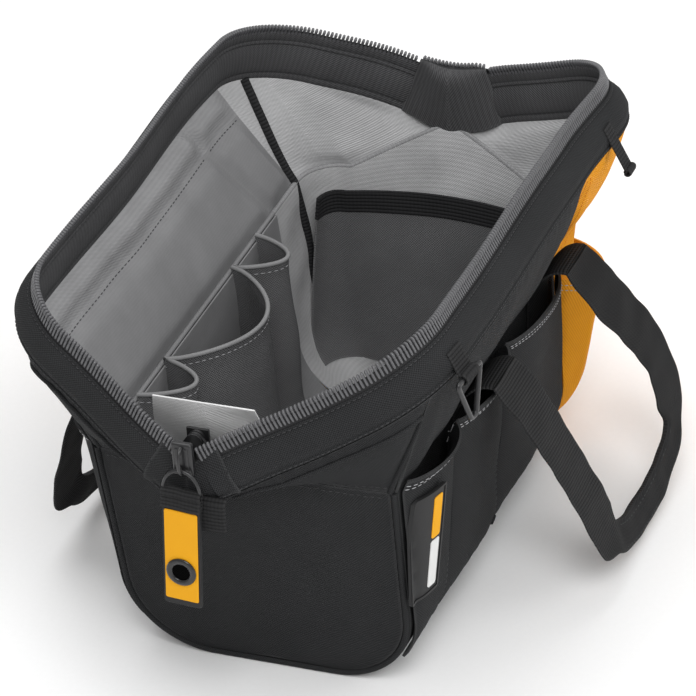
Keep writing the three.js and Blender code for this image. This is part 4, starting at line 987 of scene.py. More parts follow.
collars = {}
for word, side in SIDES:
    for part, (_, _, (bulge, folds), material, slot) in PARTS.items():
        flat = part_grid(part, side, 0.0, 0.9, 0.0)
        full = billow(flat, bulge, folds, 46, side * 11 + len(part))
        full = puckered(puckered(full, 0.5, 11, 9), 0.4, 14, 9, from_top=False)
        back = part_grid(part, side, CLOTH, -0.9, CLOTH) + (full - flat)
        collars[word, part] = full
        for (name, bend, outer), (_, _, inner) in zip(in_parts(part, full), in_parts(part, back)):
            nodes = [f"{word}_{part}_collar"] if name in ("near", "side", "far_side") else []
            made = between(f"{word}_{name}_upper_cloth", outer, inner, material)
            bending(made, side, bend, slot, *nodes)
        thread = ORANGE_THREAD if part == "far" else DARK_THREAD
        for name, bend, outer in in_parts(part, full):
            if name.endswith("_mid"):
                continue
            line, normal = row_line(outer, 4.5, from_top=False)
            bending(
                stitches(f"{word}_{name}_waist_stitch", line[1:-1], normal[1:-1], thread), side, bend,
                slot
            )

    # Two rows of stitching beside the seam where the orange cloth starts
    seam = collars[word, "far"][:, :8]
    for k, column in enumerate((1.2, 2.6)):
        low = int(column)
        line = seam[:, low] + (seam[:, low + 1] - seam[:, low]) * (column - low)
        out = -inward(seam)[:, low]
        bending(
            stitches(f"{word}_orange_seam_stitch_{k}", line[1:-1], out[1:-1], ORANGE_THREAD), side,
            "side", "orange_fabric"
        )

    # Piping up the near corner, which turns under the band towards the zip
    near = collars[word, "near"]
    v = arc_lengths(near)[1]
    rise = [near[i, -1] for i in range(ROWS - 4)]
    level = v[-1] - 13.0
    turn = []
    for j in range(near.shape[1] - 1, 5, -1):
        dip = 5.0 * max(0.0, 1 - (near.shape[1] - 1 - j) / 4.0) ** 2
        turn.append([np.interp(level[j] - dip, v[:, j], near[:, j, i]) for i in range(3)])
    cord = resample(np.array(rise + turn), 110)
    for _ in range(6):
        cord[1:-1] = (cord[:-2] + 2 * cord[1:-1] + cord[2:]) / 4
    bending(tube(f"{word}_corner_piping", cord, 1.9, BLACK_CLOTH, 12), side, "near", "black_fabric")

# Linings of the upper walls: a light strip under the band and a padded panel below it; the strip's colour
# is painted darker, painted shade under the band.
# Round the far end one light cloth hangs from the band to the waist, its colour painted brighter as
# painted light.
STRIP = 0.74
PAD_END = 18


def lining_pieces(part, grid):
    """Pieces of one part's lining: name, bend, grid and whether it is padded."""
    if part == "side":
        return [("side", "side", grid, True)]
    if part == "near":
        return [
            ("near", "near", grid[:, MID_NEAR:], True),
            ("near_mid", "near_mid", grid[:, : MID_NEAR + 1], True)
        ]
    cuts = [
        ("far_corner", "side", 0, PAD_END, True), ("far_side", "side", PAD_END, SPLIT, False),
        ("far_end", "far", SPLIT, MID_FAR, False), ("far_mid", "far_mid", MID_FAR, 72, False)
    ]
    return [(name, bend, grid[:, a : b + 1], padded) for name, bend, a, b, padded in cuts]


inner_walls = {}
for word, side in SIDES:
    used = False
    for part in ("near", "side", "far"):
        depth = CLOTH + 2 * GAP
        flat = part_grid(part, side, depth + 1.0, -10.5, depth + 1.0)
        tall = np.linalg.norm(flat[-1] - flat[0], axis=-1)[None, :, None]
        seam = np.abs(np.linspace(0, 1, ROWS + 1) - STRIP)[:, None, None] * tall
        into = inward(flat, (0, 0, 190)) * faded(flat)[..., None]
        padded = np.ones(flat.shape[1])
        if part == "far":
            padded = smoothed((PAD_END - np.arange(flat.shape[1])) / 5.0)
        full = flat + into * 5.0 * smoothed(seam / 14.0) * padded[None, :, None]
        full = rumple(
            full, 1.8 if part != "far" else 5.0, 40 if part != "far" else 58, side * 17 + len(part), 12,
            (1.0, 0.6), centre=(0, side * 900, 190)
        )
        inner_walls[side, part] = full
        cut = int(round(STRIP * ROWS))
        for name, bend, inner, soft in lining_pieces(part, full):
            # The strip takes the lining colour painted darker, painted shade under the band.
            layers = [
                ("panel", slice(0, cut + 1), GREY_LINING), ("strip", slice(cut, None), SHADE_PAINTED_LINING)
            ]
            # The far wall takes the lining colour painted brighter, painted light.
            if not soft:
                layers = [("wall", slice(0, None), LIT_PAINTED_LINING)]
            for label, rows, material in layers:
                face = inner[rows]
                made = between(
                    f"{word}_{name}_upper_{label}", face, face - inward(face, (0, 0, 190)) * 1.0,
                    material
                )
                bending(
                    made, side, bend + "_lining", "grey_lining",
                    *([] if used else [f"{word}_upper_lining"])
                )
                used = True
            if soft and not name.endswith("_mid"):
                line, normal = row_line(inner[: cut + 1], 2.2, (0, side * 900, 190))
                bending(
                    stitches(f"{word}_{name}_lining_stitch", line[1:-1], normal[1:-1], DARK_THREAD),
                    side, bend + "_lining", "grey_lining"
                )

# A thin rounded binding covers the joint of both linings at the waist
for word, side in SIDES:
    depth = 4.6
    runs = {
        "near": near_lines(side, depth)[0], "side": side_lines(side, depth)[0],
        "far": far_lines(side, depth)[0],
    }
    for part, line in runs.items():
        # At the far end the binding takes the lining colour painted darker, painted shade that offsets the
        # light the tube catches.
        binding = SHADE_PAINTED_LINING if part == "far" else GREY_LINING
        made = tube(f"{word}_{part}_waist_binding", resample(line + [0, 0, 0.3], 90), 1.7, binding, 10)
        sewn(made, "bag", "grey_lining")

# Dark corner bindings where the side lining meets the far wall
for word, side in SIDES:
    wall = inner_walls[side, "far"]
    rows = np.linspace(0, ROWS, 30)
    cols = PAD_END + (rows / ROWS) * 9.0
    line = []
    for r, c in zip(rows, cols):
        i, j = min(int(r), ROWS - 1), min(int(c), SPLIT - 1)
        line.append(
            wall[i, j] + (
                wall[i + 1, j] - wall[i, j]
            ) * (r - i) + (wall[i, j + 1] - wall[i, j]) * (c - j)
        )
    line = np.array(line)
    made = tube(f"{word}_upper_corner_binding", resample(line, 50), 3.4, BINDING, 12)
    bending(made, side, "side_lining", "grey_lining")
    foot = resample(
        np.array([line[0], [150, side * 90.5, 120], [151, side * 89.5, 80], [146, side * 86, 45]]), 40
    )
    for _ in range(4):
        foot[1:-1] = (foot[:-2] + 2 * foot[1:-1] + foot[2:]) / 4
    sewn(tube(f"{word}_lower_corner_binding", foot, 3.4, BINDING, 12), "bag", "grey_lining")


# The band round the mouth: hem over the rod, tape and zip teeth


def stations(start, stop, count):
    """Lengths along the rim, closer together on its bends."""
    marks = [start, NEAR_BEND, NEAR_BEND_END, FAR_BEND, FAR_BEND_END, stop]
    shares = [16, 26, 54, 26, 16]
    runs = [np.linspace(a, b, n, endpoint=False) for a, b, n in zip(marks, marks[1:], shares)]
    return np.append(np.concatenate(runs), stop)


def banded(name, side, outline, start, stop, material, angle=60):
    """A closed section carried along the rim; outline lists offset and drop."""
    at = stations(start, stop, 0)
    outline = np.asarray(outline, float)
    rings = np.stack([rim(side, at, o, d) for o, d in outline], 1)
    n = len(outline)
    index = np.arange(len(at) * n).reshape(len(at), n)
    faces = [
        (index[i, j], index[i, (j + 1) % n], index[i + 1, (j + 1) % n], index[i + 1, j])
        for i in range(len(at) - 1) for j in range(n)
    ]
    faces += [tuple(index[0][::-1]), tuple(index[-1])]
    round_it = np.concatenate([[0], np.cumsum(np.linalg.norm(np.diff(outline, axis=0), axis=1))])
    uv = np.stack(np.broadcast_arrays(round_it[None], at[:, None]), -1).reshape(-1, 2) * MM
    return piece(name, rings.reshape(-1, 3), faces, material, uv, angle=angle)


def hem_face(sign, puff):
    """Offsets of the hem's face from its upper edge down, thick over the rod."""
    places = [
        (11.0, 1.1), (11.6, 1.9), (12.9, 2.0), (13.4, 1.7), (14.2, 2.5), (16.5, 3.9),
        (20.0, 4.9 + puff), (24.0, 5.3 + puff), (28.0, 5.2 + puff), (31.0, 4.4), (32.8, 3.1),
        (33.4, 2.5), (34.0, 2.8), (35.4, 2.6), (36.0, 1.6)
    ]
    return [(sign * o, d) for d, o in places]


HEM_BACK = [(0.3, 36.0), (0.3, 30.2), (3.25, 29.2), (3.25, 22.8), (0.85, 17.3), (0.85, 11.0)]

# The inner band leans into the mouth: plain at the zip, then a ridge and a flat belly with stitches
INNER_FACE_LINE = [
    (0.7, 4.6), (1.8, 7.0), (2.5, 10.4), (2.2, 11.4), (3.2, 12.2), (3.4, 13.4), (3.0, 14.2),
    (5.2, 17.0), (7.6, 22.0), (9.2, 27.0), (10.0, 31.0), (9.9, 32.2), (9.4, 32.9), (10.2, 33.7),
    (10.9, 36.0), (10.7, 37.4)
]
INNER_BACK_LINE = [
    (9.6, 37.4), (8.6, 33.0), (7.6, 28.0), (5.6, 21.0), (2.4, 14.6), (1.4, 10.0), (0.55, 6.0),
    (0.5, 4.6)
]

for word, side in SIDES:
    half_frame = f"{word}_frame"
    outer = hem_face(1, 0.5) + HEM_BACK
    inner = [(-o, d) for o, d in INNER_FACE_LINE + INNER_BACK_LINE]
    made = banded(f"{word}_hem_outer_cloth", side, outer, ARM_START, RIM_END - ARM_START, BLACK_CLOTH)
    sewn(made, half_frame, "black_fabric", f"{word}_hem_outer")
    made = banded(f"{word}_hem_inner_tape", side, inner, 18.0, RIM_END - 18.0, INNER_BAND)
    sewn(made, half_frame, "webbing", f"{word}_hem_inner")
    tape = [(0.5, 4.3), (0.5, 17.0), (-0.5, 17.0), (-0.5, 4.3)]
    made = banded(f"{word}_zip_tape_cloth", side, tape, ARM_START, RIM_END - ARM_START, ZIP_TAPE)
    sewn(made, half_frame, "zip_tape", f"{word}_zip_tape")
    at = stations(ARM_START + 1, RIM_END - ARM_START - 1, 0)
    for k, (offset, drop) in enumerate(((2.0, 12.9), (2.85, 34.6))):
        line = rim(side, at, offset, drop)
        sewn(
            stitches(
                f"{word}_hem_stitch_{k}", line, rim(side, at, offset + 1, drop) - line, DARK_THREAD,
                3.6, 2.6, 0.7
            ),
            half_frame, "black_fabric"
        )
        at_in = stations(20.0, RIM_END - 20.0, 0)
        offset, drop = ((3.3, 13.0), (9.6, 32.7))[k]
        line = rim(side, at_in, -offset, drop)
        sewn(
            stitches(
                f"{word}_hem_inner_stitch_{k}", line, line - rim(side, at_in, -offset + 1, drop),
                DARK_THREAD, 3.6, 2.6, 0.7
            ),
            half_frame, "webbing"
        )

    # Teeth: moulded blocks over the tape's edge, with legs down its outer face
    at = np.arange(ARM_START + 1.5, RIM_END - 27.0, 2.6)
    place = rim(side, at, 0, 2.5)
    out = rim(side, at, 1, 2.5) - place
    fall = rim(side, at, 0, 3.5) - place
    axes = np.stack([np.cross(out, fall) * 1.75, out * 3.3, fall * 4.2], 1)
    made = spread(f"{word}_teeth", TOOTH, place, axes, TEETH)
    sewn(made, half_frame, "zip_teeth", f"{word}_zip_teeth")
    for way, label in ((1, "outer"), (-1, "inner")):
        place = rim(side, at, way * 0.95, 6.6)
        axes = np.stack([np.cross(out, fall) * 1.5, out * 1.1, fall * 5.6], 1)
        sewn(spread(f"{word}_teeth_legs_{label}", TOOTH, place, axes, TEETH), half_frame, "zip_teeth")


# Slider, its ring and the stiff tag at the near end of the zip

LEAN = radians(4)
RING_X, RING_TOP, RING_FOOT, FOLD_Z = -264.6, 213.1, 198.3, 197.0


def leaned(points):
    """Turns the tag's pieces a little to the left about the top of the ring."""
    points = np.array(points, float)
    y, z = points[..., 1].copy(), points[..., 2] - RING_TOP
    points[..., 1] = y * cos(LEAN) - z * sin(LEAN)
    points[..., 2] = y * sin(LEAN) + z * cos(LEAN) + RING_TOP
    return points


def block(name, low, high, material, bevel=0.6, segments=3, work=None):
    """A block modelled between two corners in millimetres, with rounded edges."""
    low, high = np.array(low, float) * MM, np.array(high, float) * MM
    bpy.ops.object.select_all(action="DESELECT")
    bpy.ops.mesh.primitive_cube_add(size=1.0)
    made = bpy.context.object
    made.name = made.data.name = name
    bpy.ops.object.mode_set(mode="EDIT")
    bpy.ops.mesh.select_all(action="SELECT")
    bpy.ops.transform.resize(value=tuple(high - low), center_override=(0, 0, 0))
    bpy.ops.transform.translate(value=tuple((high + low) / 2))
    if work:
        work()
    bpy.ops.mesh.select_all(action="SELECT")
    bpy.ops.mesh.bevel(offset=bevel * MM, segments=segments, affect="EDGES")
    bpy.ops.mesh.normals_make_consistent(inside=False)
    bpy.ops.object.mode_set(mode="OBJECT")
    made.data.materials.append(material)
    smooth(made, 40)
    return made


slider = block("slider_body", (-262.0, -6.5, 208.0), (-257.6, 6.5, 230.0), DARK_METAL, 1.3)
sewn(slider, "zip_slider", "dark_metal", "zip_slider")
crown = block("slider_crown", (-262.6, -4.2, 211.0), (-261.6, 4.2, 227.0), DARK_METAL, 0.45)
sewn(crown, "zip_slider", "dark_metal")
turn = np.linspace(0, pi, 25)
bail = np.stack([-262.2 - 5.2 * np.sin(turn) ** 0.8, np.zeros(25), 219.0 + 8.2 * np.cos(turn)], -1)
sewn(
    tube("slider_bail", bail, np.interp(turn, [0, pi / 2, pi], [1.5, 1.15, 1.5]), DARK_METAL, 12),
    "zip_slider", "dark_metal"
)

turn = np.linspace(-0.1, pi + 0.1, 41)
arch = np.stack(
    [np.full(41, RING_X), 11.6 * np.cos(turn), RING_FOOT + np.maximum(0, 14.8 * np.sin(turn))], -1
)
ring_line = resample(leaned(np.vstack([arch, arch[:1]])), 72)[:-1]
for _ in range(2):
    ring_line = (np.roll(ring_line, 1, 0) + 2 * ring_line + np.roll(ring_line, -1, 0)) / 4
sewn(
    tube("pull_ring_wire", ring_line, 1.15, DARK_METAL, 12, closed=True), "pull_ring", "dark_metal",
    "pull_ring"
)


def rounded_slab(x0, x1, y0, y1, z0, z1, corner, name, material, bevel=0.35):
    """A flat slab facing the near end, with rounded corners and softened edges."""
    turn = np.linspace(0, pi / 2, 7)
    outline = []
    for cy, cz, a in ((y1, z1, 0), (y0, z1, pi / 2), (y0, z0, pi), (y1, z0, 3 * pi / 2)):
        my, mz = cy - corner * np.sign(cy - (y0 + y1) / 2), cz - corner * np.sign(cz - (z0 + z1) / 2)
        outline += [(my + corner * cos(a + b), mz + corner * sin(a + b)) for b in turn]
    outline = np.array(outline)
    middle = outline.mean(0)
    rings = []
    for x, shrink in ((x0, bevel), (x0 + bevel, 0), (x1 - bevel, 0), (x1, bevel)):
        at = outline - (outline - middle) / np.linalg.norm(outline - middle, axis=1)[:, None] * shrink
        rings.append(np.column_stack([np.full(len(at), x), at]))
    n = len(outline)
    faces = [
        (k * n + i, k * n + (i + 1) % n, (k + 1) * n + (i + 1) % n, (k + 1) * n + i) for k in range(3)
        for i in range(n)
    ]
    faces += [tuple(range(n))[::-1], tuple(range(3 * n, 4 * n))]
    points = leaned(np.concatenate(rings))
    uv = points[:, 1:] * MM
    return piece(name, points, faces, material, uv, angle=35)


TAG_LOW, TAG_HIGH = 116.5, 194.5
slab = rounded_slab(
    -265.5, -263.7, -12.2, 12.2, TAG_LOW, TAG_HIGH - 3, 2.2, "pull_tag_back", BLACK_RUBBER
)
sewn(slab, "pull_tag", "black_rubber")
frame_edge = rounded_slab(
    -266.4, -265.4, -12.0, 12.0, TAG_LOW + 0.3, TAG_HIGH - 5, 2.2, "pull_tag_border", BLACK_RUBBER
)
sewn(frame_edge, "pull_tag", "black_rubber")
insert = rounded_slab(
    -267.2, -266.3, -10.6, 10.6, 121.0, 185.4, 1.4, "pull_tag_orange", ORANGE_RUBBER, 0.5
)
sewn(insert, "pull_tag", "orange_rubber", "pull_tag_insert")

# The webbing that wraps the ring's bar: down the front, round and down the back, a little crumpled
turn = np.linspace(-pi / 2, 3 * pi / 2, 33)[1:-1]
fold = np.stack([RING_X - 3.1 * np.cos(turn), np.zeros(31), FOLD_Z + 3.1 * np.sin(turn)], -1)
front = np.stack([np.linspace(-267.9, -266.6, 8), np.zeros(8), np.linspace(186.2, 193.0, 8)], -1)
back = front[::-1] * [1, 1, 1] + [4.9, 0, 0]
path = resample(np.vstack([front, fold[fold[:, 2] > 194.2], back]), 40)
across = np.linspace(-12.4, 12.4, 25)
grid = np.repeat(path[:, None], 25, 1)
grid[..., 1] = across[None]
for at in np.ndindex(*grid.shape[:2]):
    crush = noise.noise(Vector((grid[at][1] / 9, grid[at][2] / 9, 2.2)))
    grid[at] += [crush * 1.0, 0, crush * 0.5]
centre_line = np.array([RING_X, 0, FOLD_Z - 4])
made = between("pull_tag_fold", leaned(grid), leaned(grid + inward(grid, centre_line) * 1.1), WEBBING)
sewn(made, "pull_tag", "webbing", "pull_tag_webbing")


def spun(name, profile, centre, material, count=40, finish_lean=True):
    """Spins a closed profile of radius and depth about a line along the bag."""
    points, faces, n = [], [], len(profile)
    for k in range(count):
        a = 2 * pi * k / count
        points += [
            (centre[0] + depth, centre[1] + radius * cos(a), centre[2] + radius * sin(a)) for radius,
            depth in profile
        ]
        faces += [
            (k * n + i, k * n + (i + 1) % n, (k + 1) % count * n + (i + 1) % n, (k + 1) % count * n + i)
            for i in range(n)
        ]
    points = leaned(points) if finish_lean else np.array(points)
    return piece(name, points, faces, material, points[:, 1:] * MM, angle=50)


rim_turn = np.linspace(0, 2 * pi, 17)[:-1]
eyelet = [(7.6 + 1.95 * cos(a), -3.2 + 1.1 * sin(a)) for a in rim_turn]
sewn(
    spun("tag_eyelet", eyelet, (RING_X, 0.0, 142.0), GLOSSY_BLACK), "pull_tag", "dark_metal",
    "pull_tag_eyelet"
)
bore = [(5.7, -3.6), (6.4, -3.6), (6.4, 1.9), (8.4, 1.9), (8.4, 2.5), (5.7, 2.5)]
sewn(spun("tag_eyelet_bore", bore, (RING_X, 0.0, 142.0), GLOSSY_BLACK), "pull_tag", "dark_metal")
# Painted shade: a near-black disc sits in the eyelet's bore where there is only the hole.
sewn(
    spun(
        "tag_eyelet_painted_hole_shade", [(0.01, -3.0), (5.8, -3.0), (5.8, -1.5), (0.01, -1.5)],
        (RING_X, 0.0, 142.0), DEEP_SHADE
    ),
    "pull_tag", "black_rubber"
)


def belt(name, path, width, across, material, thickness=2.0, columns=13, wave=0.0):
    """A webbing strap along a path; across gives its width direction at each place."""
    path, across = np.asarray(path, float), np.asarray(across, float)
    across = np.broadcast_to(across, path.shape)
    width = np.broadcast_to(width, len(path))
    ahead = np.gradient(path, axis=0)
    ahead /= np.linalg.norm(ahead, axis=1)[:, None]
    face = np.cross(ahead, across)
    face /= np.linalg.norm(face, axis=1)[:, None]
    share = np.linspace(-0.5, 0.5, columns)
    middle = path[:, None] + across[:, None] * (share[None, :, None] * width[:, None, None])
    thick = np.broadcast_to(thickness, len(path))[:, None, None]
    plump = (0.55 + 0.45 * np.sqrt(np.maximum(0, 1 - (2 * share) ** 6)))[None, :, None]
    if wave:
        bend = np.array(
            [[noise.noise(Vector((s * 1.4, i / 9.0, wave))) for s in share] for i in range(len(path))]
        )
        middle = middle + face[:, None] * bend[..., None] * 1.6
    half = face[:, None] * thick * plump / 2
    return between(name, middle + half, middle - half, material, angle=50)


end = np.array(
    [
        (-243.0, -11, 190.2), (-250, -11, 190.2), (-256.5, -11, 190.5), (-258.6, -11, 188.5),
        (-259.2, -11, 184), (-259.6, -11, 177), (-259.4, -11, 169.5)
    ]
)
made = belt("zip_end_webbing", resample(end, 36), 24.6, (0, 1, 0), WEBBING, 1.7)
sewn(made, "bag", "webbing", "zip_end_tab")


# A cloth saddle closes the far V over the hinge; the zip runs on along its ridge

SADDLE_ARC = 26.0
SADDLE = [
    (-10.9, 37.2), (-9.6, 31.0), (-5.6, 20.0), (-3.2, 12.4), (-1.8, 5.0), (-1.5, 2.0), (0.0, 0.6),
    (1.5, 2.0), (1.9, 8.0), (3.1, 13.5), (5.4, 19.0), (6.5, 26.0), (5.6, 31.5), (3.4, 36.6)
]
SADDLE_MIDDLE = [
    (22.8, 187.4), (22.8, 194.0), (22.7, 206.0), (22.6, 216.0), (22.2, 224.0), (19.4, 229.0),
    (11.0, 229.4), (3.5, 227.2), (0.2, 222.5), (-1.6, 215.0), (-2.6, 207.0), (-2.8, 200.0),
    (-2.2, 193.0), (-0.6, 187.6)
]
for word, side in SIDES:
    end = np.array([rim(side, RIM_END - SADDLE_ARC, o, d) for o, d in SADDLE])
    middle = np.array([(FAR_HINGE_X - a, side * 0.05, z) for a, z in SADDLE_MIDDLE])
    share = np.linspace(0, 1, 19)[:, None, None] * np.ones((1, 1, 3))
    share[..., ::2] = share[..., ::2] ** 1.7
    grid = middle[None] + (end - middle)[None] * share
    dip = np.sin(pi * share[:, 0, 0]) ** 2
    grid[..., 2] += (dip[:, None] * 1.2 * np.sin(np.arange(14) * 1.3 + side)[None])
    grid = np.transpose(grid, (1, 0, 2))
    dense = np.stack(
        [
            np.stack(
                [np.interp(np.linspace(0, 13, 53), np.arange(14), grid[:, j, i]) for i in range(3)], -1
            )
            for j in range(19)
        ],
        1
    )
    for _ in range(3):
        dense[1:-1] = (dense[:-2] + 2 * dense[1:-1] + dense[2:]) / 4
    core = np.array([FAR_HINGE_X - 8.0, 0, 196.0])
    cloth_parts = [
        ("inner", dense[:24], INNER_BAND, "webbing"), ("outer", dense[23:], BLACK_CLOTH, "black_fabric")
    ]
    for label, part_rows, material, slot in cloth_parts:
        part_rows = np.transpose(part_rows, (1, 0, 2))[::-1]
        made = between(
            f"{word}_far_v_{label}_cover", part_rows, part_rows + inward(part_rows, core) * 0.9,
            material
        )
        bending(made, side, "v_cover", slot)
    ridge = resample(dense[26], 9)[:-1] + [0, 0, 0.6]
    ahead = np.gradient(ridge, axis=0)
    ahead /= np.linalg.norm(ahead, axis=1)[:, None]
    fall = np.tile([0.0, 0.0, -1.0], (len(ridge), 1))
    out = np.cross(fall, ahead)
    out /= np.linalg.norm(out, axis=1)[:, None]
    axes = np.stack([ahead * 1.75, out * 3.3, np.cross(ahead, out) * 4.2], 1)
    bending(spread(f"{word}_far_v_teeth", TOOTH, ridge, axes, TEETH), side, "v_cover", "zip_teeth")

# Black cloth closes the near V under the slider

NEAR_ARC = 17.0
NEAR_END = [(0.9, 4.5), (2.2, 8.0), (3.0, 13.5), (5.2, 19.0), (6.3, 26.0), (5.4, 31.5), (3.2, 36.4)]
NEAR_CENTRE = [
    (-1.0, 207.5), (1.6, 205.5), (3.2, 203.0), (4.4, 199.0), (4.6, 195.5), (3.4, 191.5), (0.6, 188.2)
]
for word, side in SIDES:
    end = np.array([rim(side, NEAR_ARC, o, d) for o, d in NEAR_END])
    middle = np.array([(NEAR_HINGE_X - a, side * 0.05, z) for a, z in NEAR_CENTRE])
    share = np.linspace(0, 1, 15)[:, None, None]
    grid = np.transpose(middle[None] + (end - middle)[None] * share, (1, 0, 2))
    grid = np.stack([resample(grid[:, j], 24) for j in range(15)], 1)
    core = np.array([NEAR_HINGE_X + 8.0, 0, 205.0])
    grid = grid - inward(grid, core) * (1.2 * np.sin(pi * share[:, 0])[None])
    made = between(f"{word}_near_v_cover", grid, grid + inward(grid, core) * 0.9, BLACK_CLOTH)
    bending(made, side, "v_cover", "black_fabric")


# Outside pockets on both long sides

POCKET_FOOT, POCKET_LIP, POCKET_LIP_FAR, POCKET_SLOPE_X = 22.0, 168.0, 146.0, -20.0
DIVIDERS = (-108.0, -18.0)
COLLAR_SLOPE = (MOUTH_HALF + HEM_DEPTH * sin(TILT) - WAIST_HALF) / (280 - HEM_DEPTH * cos(TILT) - WAIST)


def outer_half(z):
    return wall_half(np.minimum(z, WAIST)) + COLLAR_SLOPE * np.maximum(0, z - WAIST)


def pocket_lip(x):
    end = seam_x(POCKET_LIP_FAR)
    share = np.clip((x - POCKET_SLOPE_X) / (end - POCKET_SLOPE_X), 0, 1)
    return POCKET_LIP + (POCKET_LIP_FAR - POCKET_LIP) * share


def pocket_point(side, column, t):
    """A place on the pocket row: column runs over the three pockets, t from foot to lip."""
    k = min(2, int(column))

    def place(height):
        edges = [near_x(height) + SIDE_START, *DIVIDERS, seam_x(height) - SIDE_START]
        return edges[k] + (edges[k + 1] - edges[k]) * (column - k)

    z = POCKET_FOOT + (pocket_lip(place(POCKET_LIP)) - POCKET_FOOT) * t
    u = column - k
    left, right = (0 if k == 0 else 4.5), (0 if k == 2 else 4.5)
    opening = left + (right - left) * u + 14.0 * sin(pi * min(max(u, 0), 1)) ** 0.6
    slack = 1.1 * max(0.0, 1 - (z - POCKET_FOOT) / (FOOT_RADIUS - POCKET_FOOT))
    out = 2 * GAP + CLOTH + slack + opening * t**0.8
    return place(z), side * (float(outer_half(z)) + out), z


def pocket_outset_at(x, z):
    """How far the pocket's face stands out from the wall behind it."""
    t = (z - POCKET_FOOT) / (pocket_lip(x) - POCKET_FOOT)
    edges = [near_x(z) + SIDE_START, *DIVIDERS, seam_x(z) - SIDE_START]
    k = int(np.clip(sum(x > e for e in edges[1:3]), 0, 2))
    u = np.clip((x - edges[k]) / (edges[k + 1] - edges[k]), 0, 1)
    left, right = (0 if k == 0 else 4.5), (0 if k == 2 else 4.5)
    slack = 1.1 * max(0.0, 1 - (z - POCKET_FOOT) / (FOOT_RADIUS - POCKET_FOOT))
    return 2 * GAP + CLOTH + slack + (left + (right - left) * u + 14.0 * sin(pi * u) ** 0.6) * t**0.8


columns = np.unique(
    np.concatenate([np.round((1 - np.cos(np.linspace(0, pi, 41))) / 2 + k, 6) for k in range(3)])
)
levels = np.linspace(0, 1, 49)
pockets = {}
for word, side in SIDES:
    grid = np.array([[pocket_point(side, c, t) for c in columns] for t in levels])
    grid = rumple(grid, 3.0, 52, 20 + side, 12, (1.0, 0.8))
    grid = puckered(grid, 0.5, 15.0, 10.0, from_top=False)
    # The lip is turned over and sewn down, so it is a little thicker and rolls outwards
    v = arc_lengths(grid)[1]
    near_lip = smoothed(1 - (v[-1] - v) / 11.0)
    grid = grid - inward(grid) * (
        0.9 * near_lip - 0.35 * np.exp(-((v[-1] - v - 9.3) / 1.2) ** 2)
    )[..., None]
    pockets[side] = grid
    made = cloth(f"{word}_pocket_cloth", grid, BLACK_CLOTH)
    sewn(made, "bag", "black_fabric", f"{word}_pocket_row")
    for k, inset in enumerate((4.6, 8.6)):
        line, normal = row_line(grid, inset)
        sewn(stitches(f"{word}_pocket_topstitch_{k}", line, normal, PALE_THREAD), "bag", "black_fabric")
    out = -inward(grid)
    for k in (1, 2):
        j = int(np.argmin(np.abs(columns - k)))
        for m, step in enumerate((-1, 1)):
            line = grid[2:-1, j] + (grid[2:-1, j + 2 * step] - grid[2:-1, j]) * 0.8
            name = f"{word}_divider_stitch_{k}_{m}"
            sewn(stitches(name, line, out[2:-1, j], DARK_THREAD), "bag", "black_fabric")
        # A bartack locks each divider at the lip
        top = grid[-1, j] + (grid[-6, j] - grid[-1, j]) * 0.15
        foot = grid[-1, j] + (grid[-6, j] - grid[-1, j]) * 0.95
        rungs = np.linspace(0, 1, 14)[:, None]
        line = top + (foot - top) * rungs
        ahead = np.array([1.0, 0, 0])
        axes = np.tile(
            np.stack([ahead * 4.6, (foot - top) / 13 * 1.1, out[-3, j] * 1.2])[None], (14, 1, 1)
        )
        sewn(
            spread(f"{word}_bartack_{k}", THREAD, line + out[-3, j] * 0.4, axes, PALE_THREAD), "bag",
            "black_fabric"
        )

# The badge: a soft moulded plate with a raised border, an orange bar and a pale bar
BADGE_X = -158.0


def badge_skin(half_width, low, high, rise, corner, name, material, middle=BADGE_X, deep=0.0):
    """A rounded plate that lies on the curved pocket."""
    rows, cols = np.linspace(low, high, 30), np.linspace(-1, 1, 13)
    outer = []
    for z in rows:
        end = min(z - low, high - z)
        narrow = corner - np.sqrt(max(0.0, corner**2 - max(0.0, corner - end) ** 2))
        xs = middle + cols * (half_width - narrow)
        outer.append([(x, -(float(outer_half(z)) + pocket_outset_at(x, z) + 0.6), z) for x in xs])
    outer = np.array(outer)
    top = outer.copy()
    top[..., 1] -= rise
    low_face = outer.copy()
    low_face[..., 1] -= deep
    return between(name, top, low_face, material, angle=35)


sewn(
    badge_skin(14.0, 70.0, 150.0, 1.7, 2.5, "badge_plate_rubber", BLACK_RUBBER), "bag", "black_rubber",
    "badge_plate"
)
for edge_name, (x0, x1, z0, z1) in {
    "near": (-171.6, -170.0, 71, 149), "far": (-146.0, -144.4, 71, 149)
}.items():
    sewn(
        badge_skin(
            (x1 - x0) / 2, z0, z1, 2.3, 0.7, f"badge_border_{edge_name}", BLACK_RUBBER, (x0 + x1) / 2,
            1.0
        ),
        "bag", "black_rubber"
    )
for edge_name, (z0, z1) in {"foot": (70.6, 72.4), "top": (147.6, 149.4)}.items():
    sewn(
        badge_skin(12.6, z0, z1, 2.3, 0.5, f"badge_border_{edge_name}", BLACK_RUBBER, BADGE_X, 1.0),
        "bag", "black_rubber"
    )
sewn(
    badge_skin(4.0, 113, 144, 2.2, 1.0, "badge_orange_bar", ORANGE_RUBBER, -152.5, 1.2), "bag",
    "orange_rubber"
)
sewn(
    badge_skin(4.0, 76, 111, 2.2, 1.0, "badge_pale_bar", PALE_RUBBER, -152.5, 1.2), "bag",
    "black_rubber"
)

# The orange pocket round the far end


def wall_at(share, height):
    """The far wall's place at a height."""
    t = np.linspace(0, 1, 300)
    line = far_wall(np.full(300, share), t)
    return np.array([np.interp(height, line[:, 2], line[:, i]) for i in range(3)])


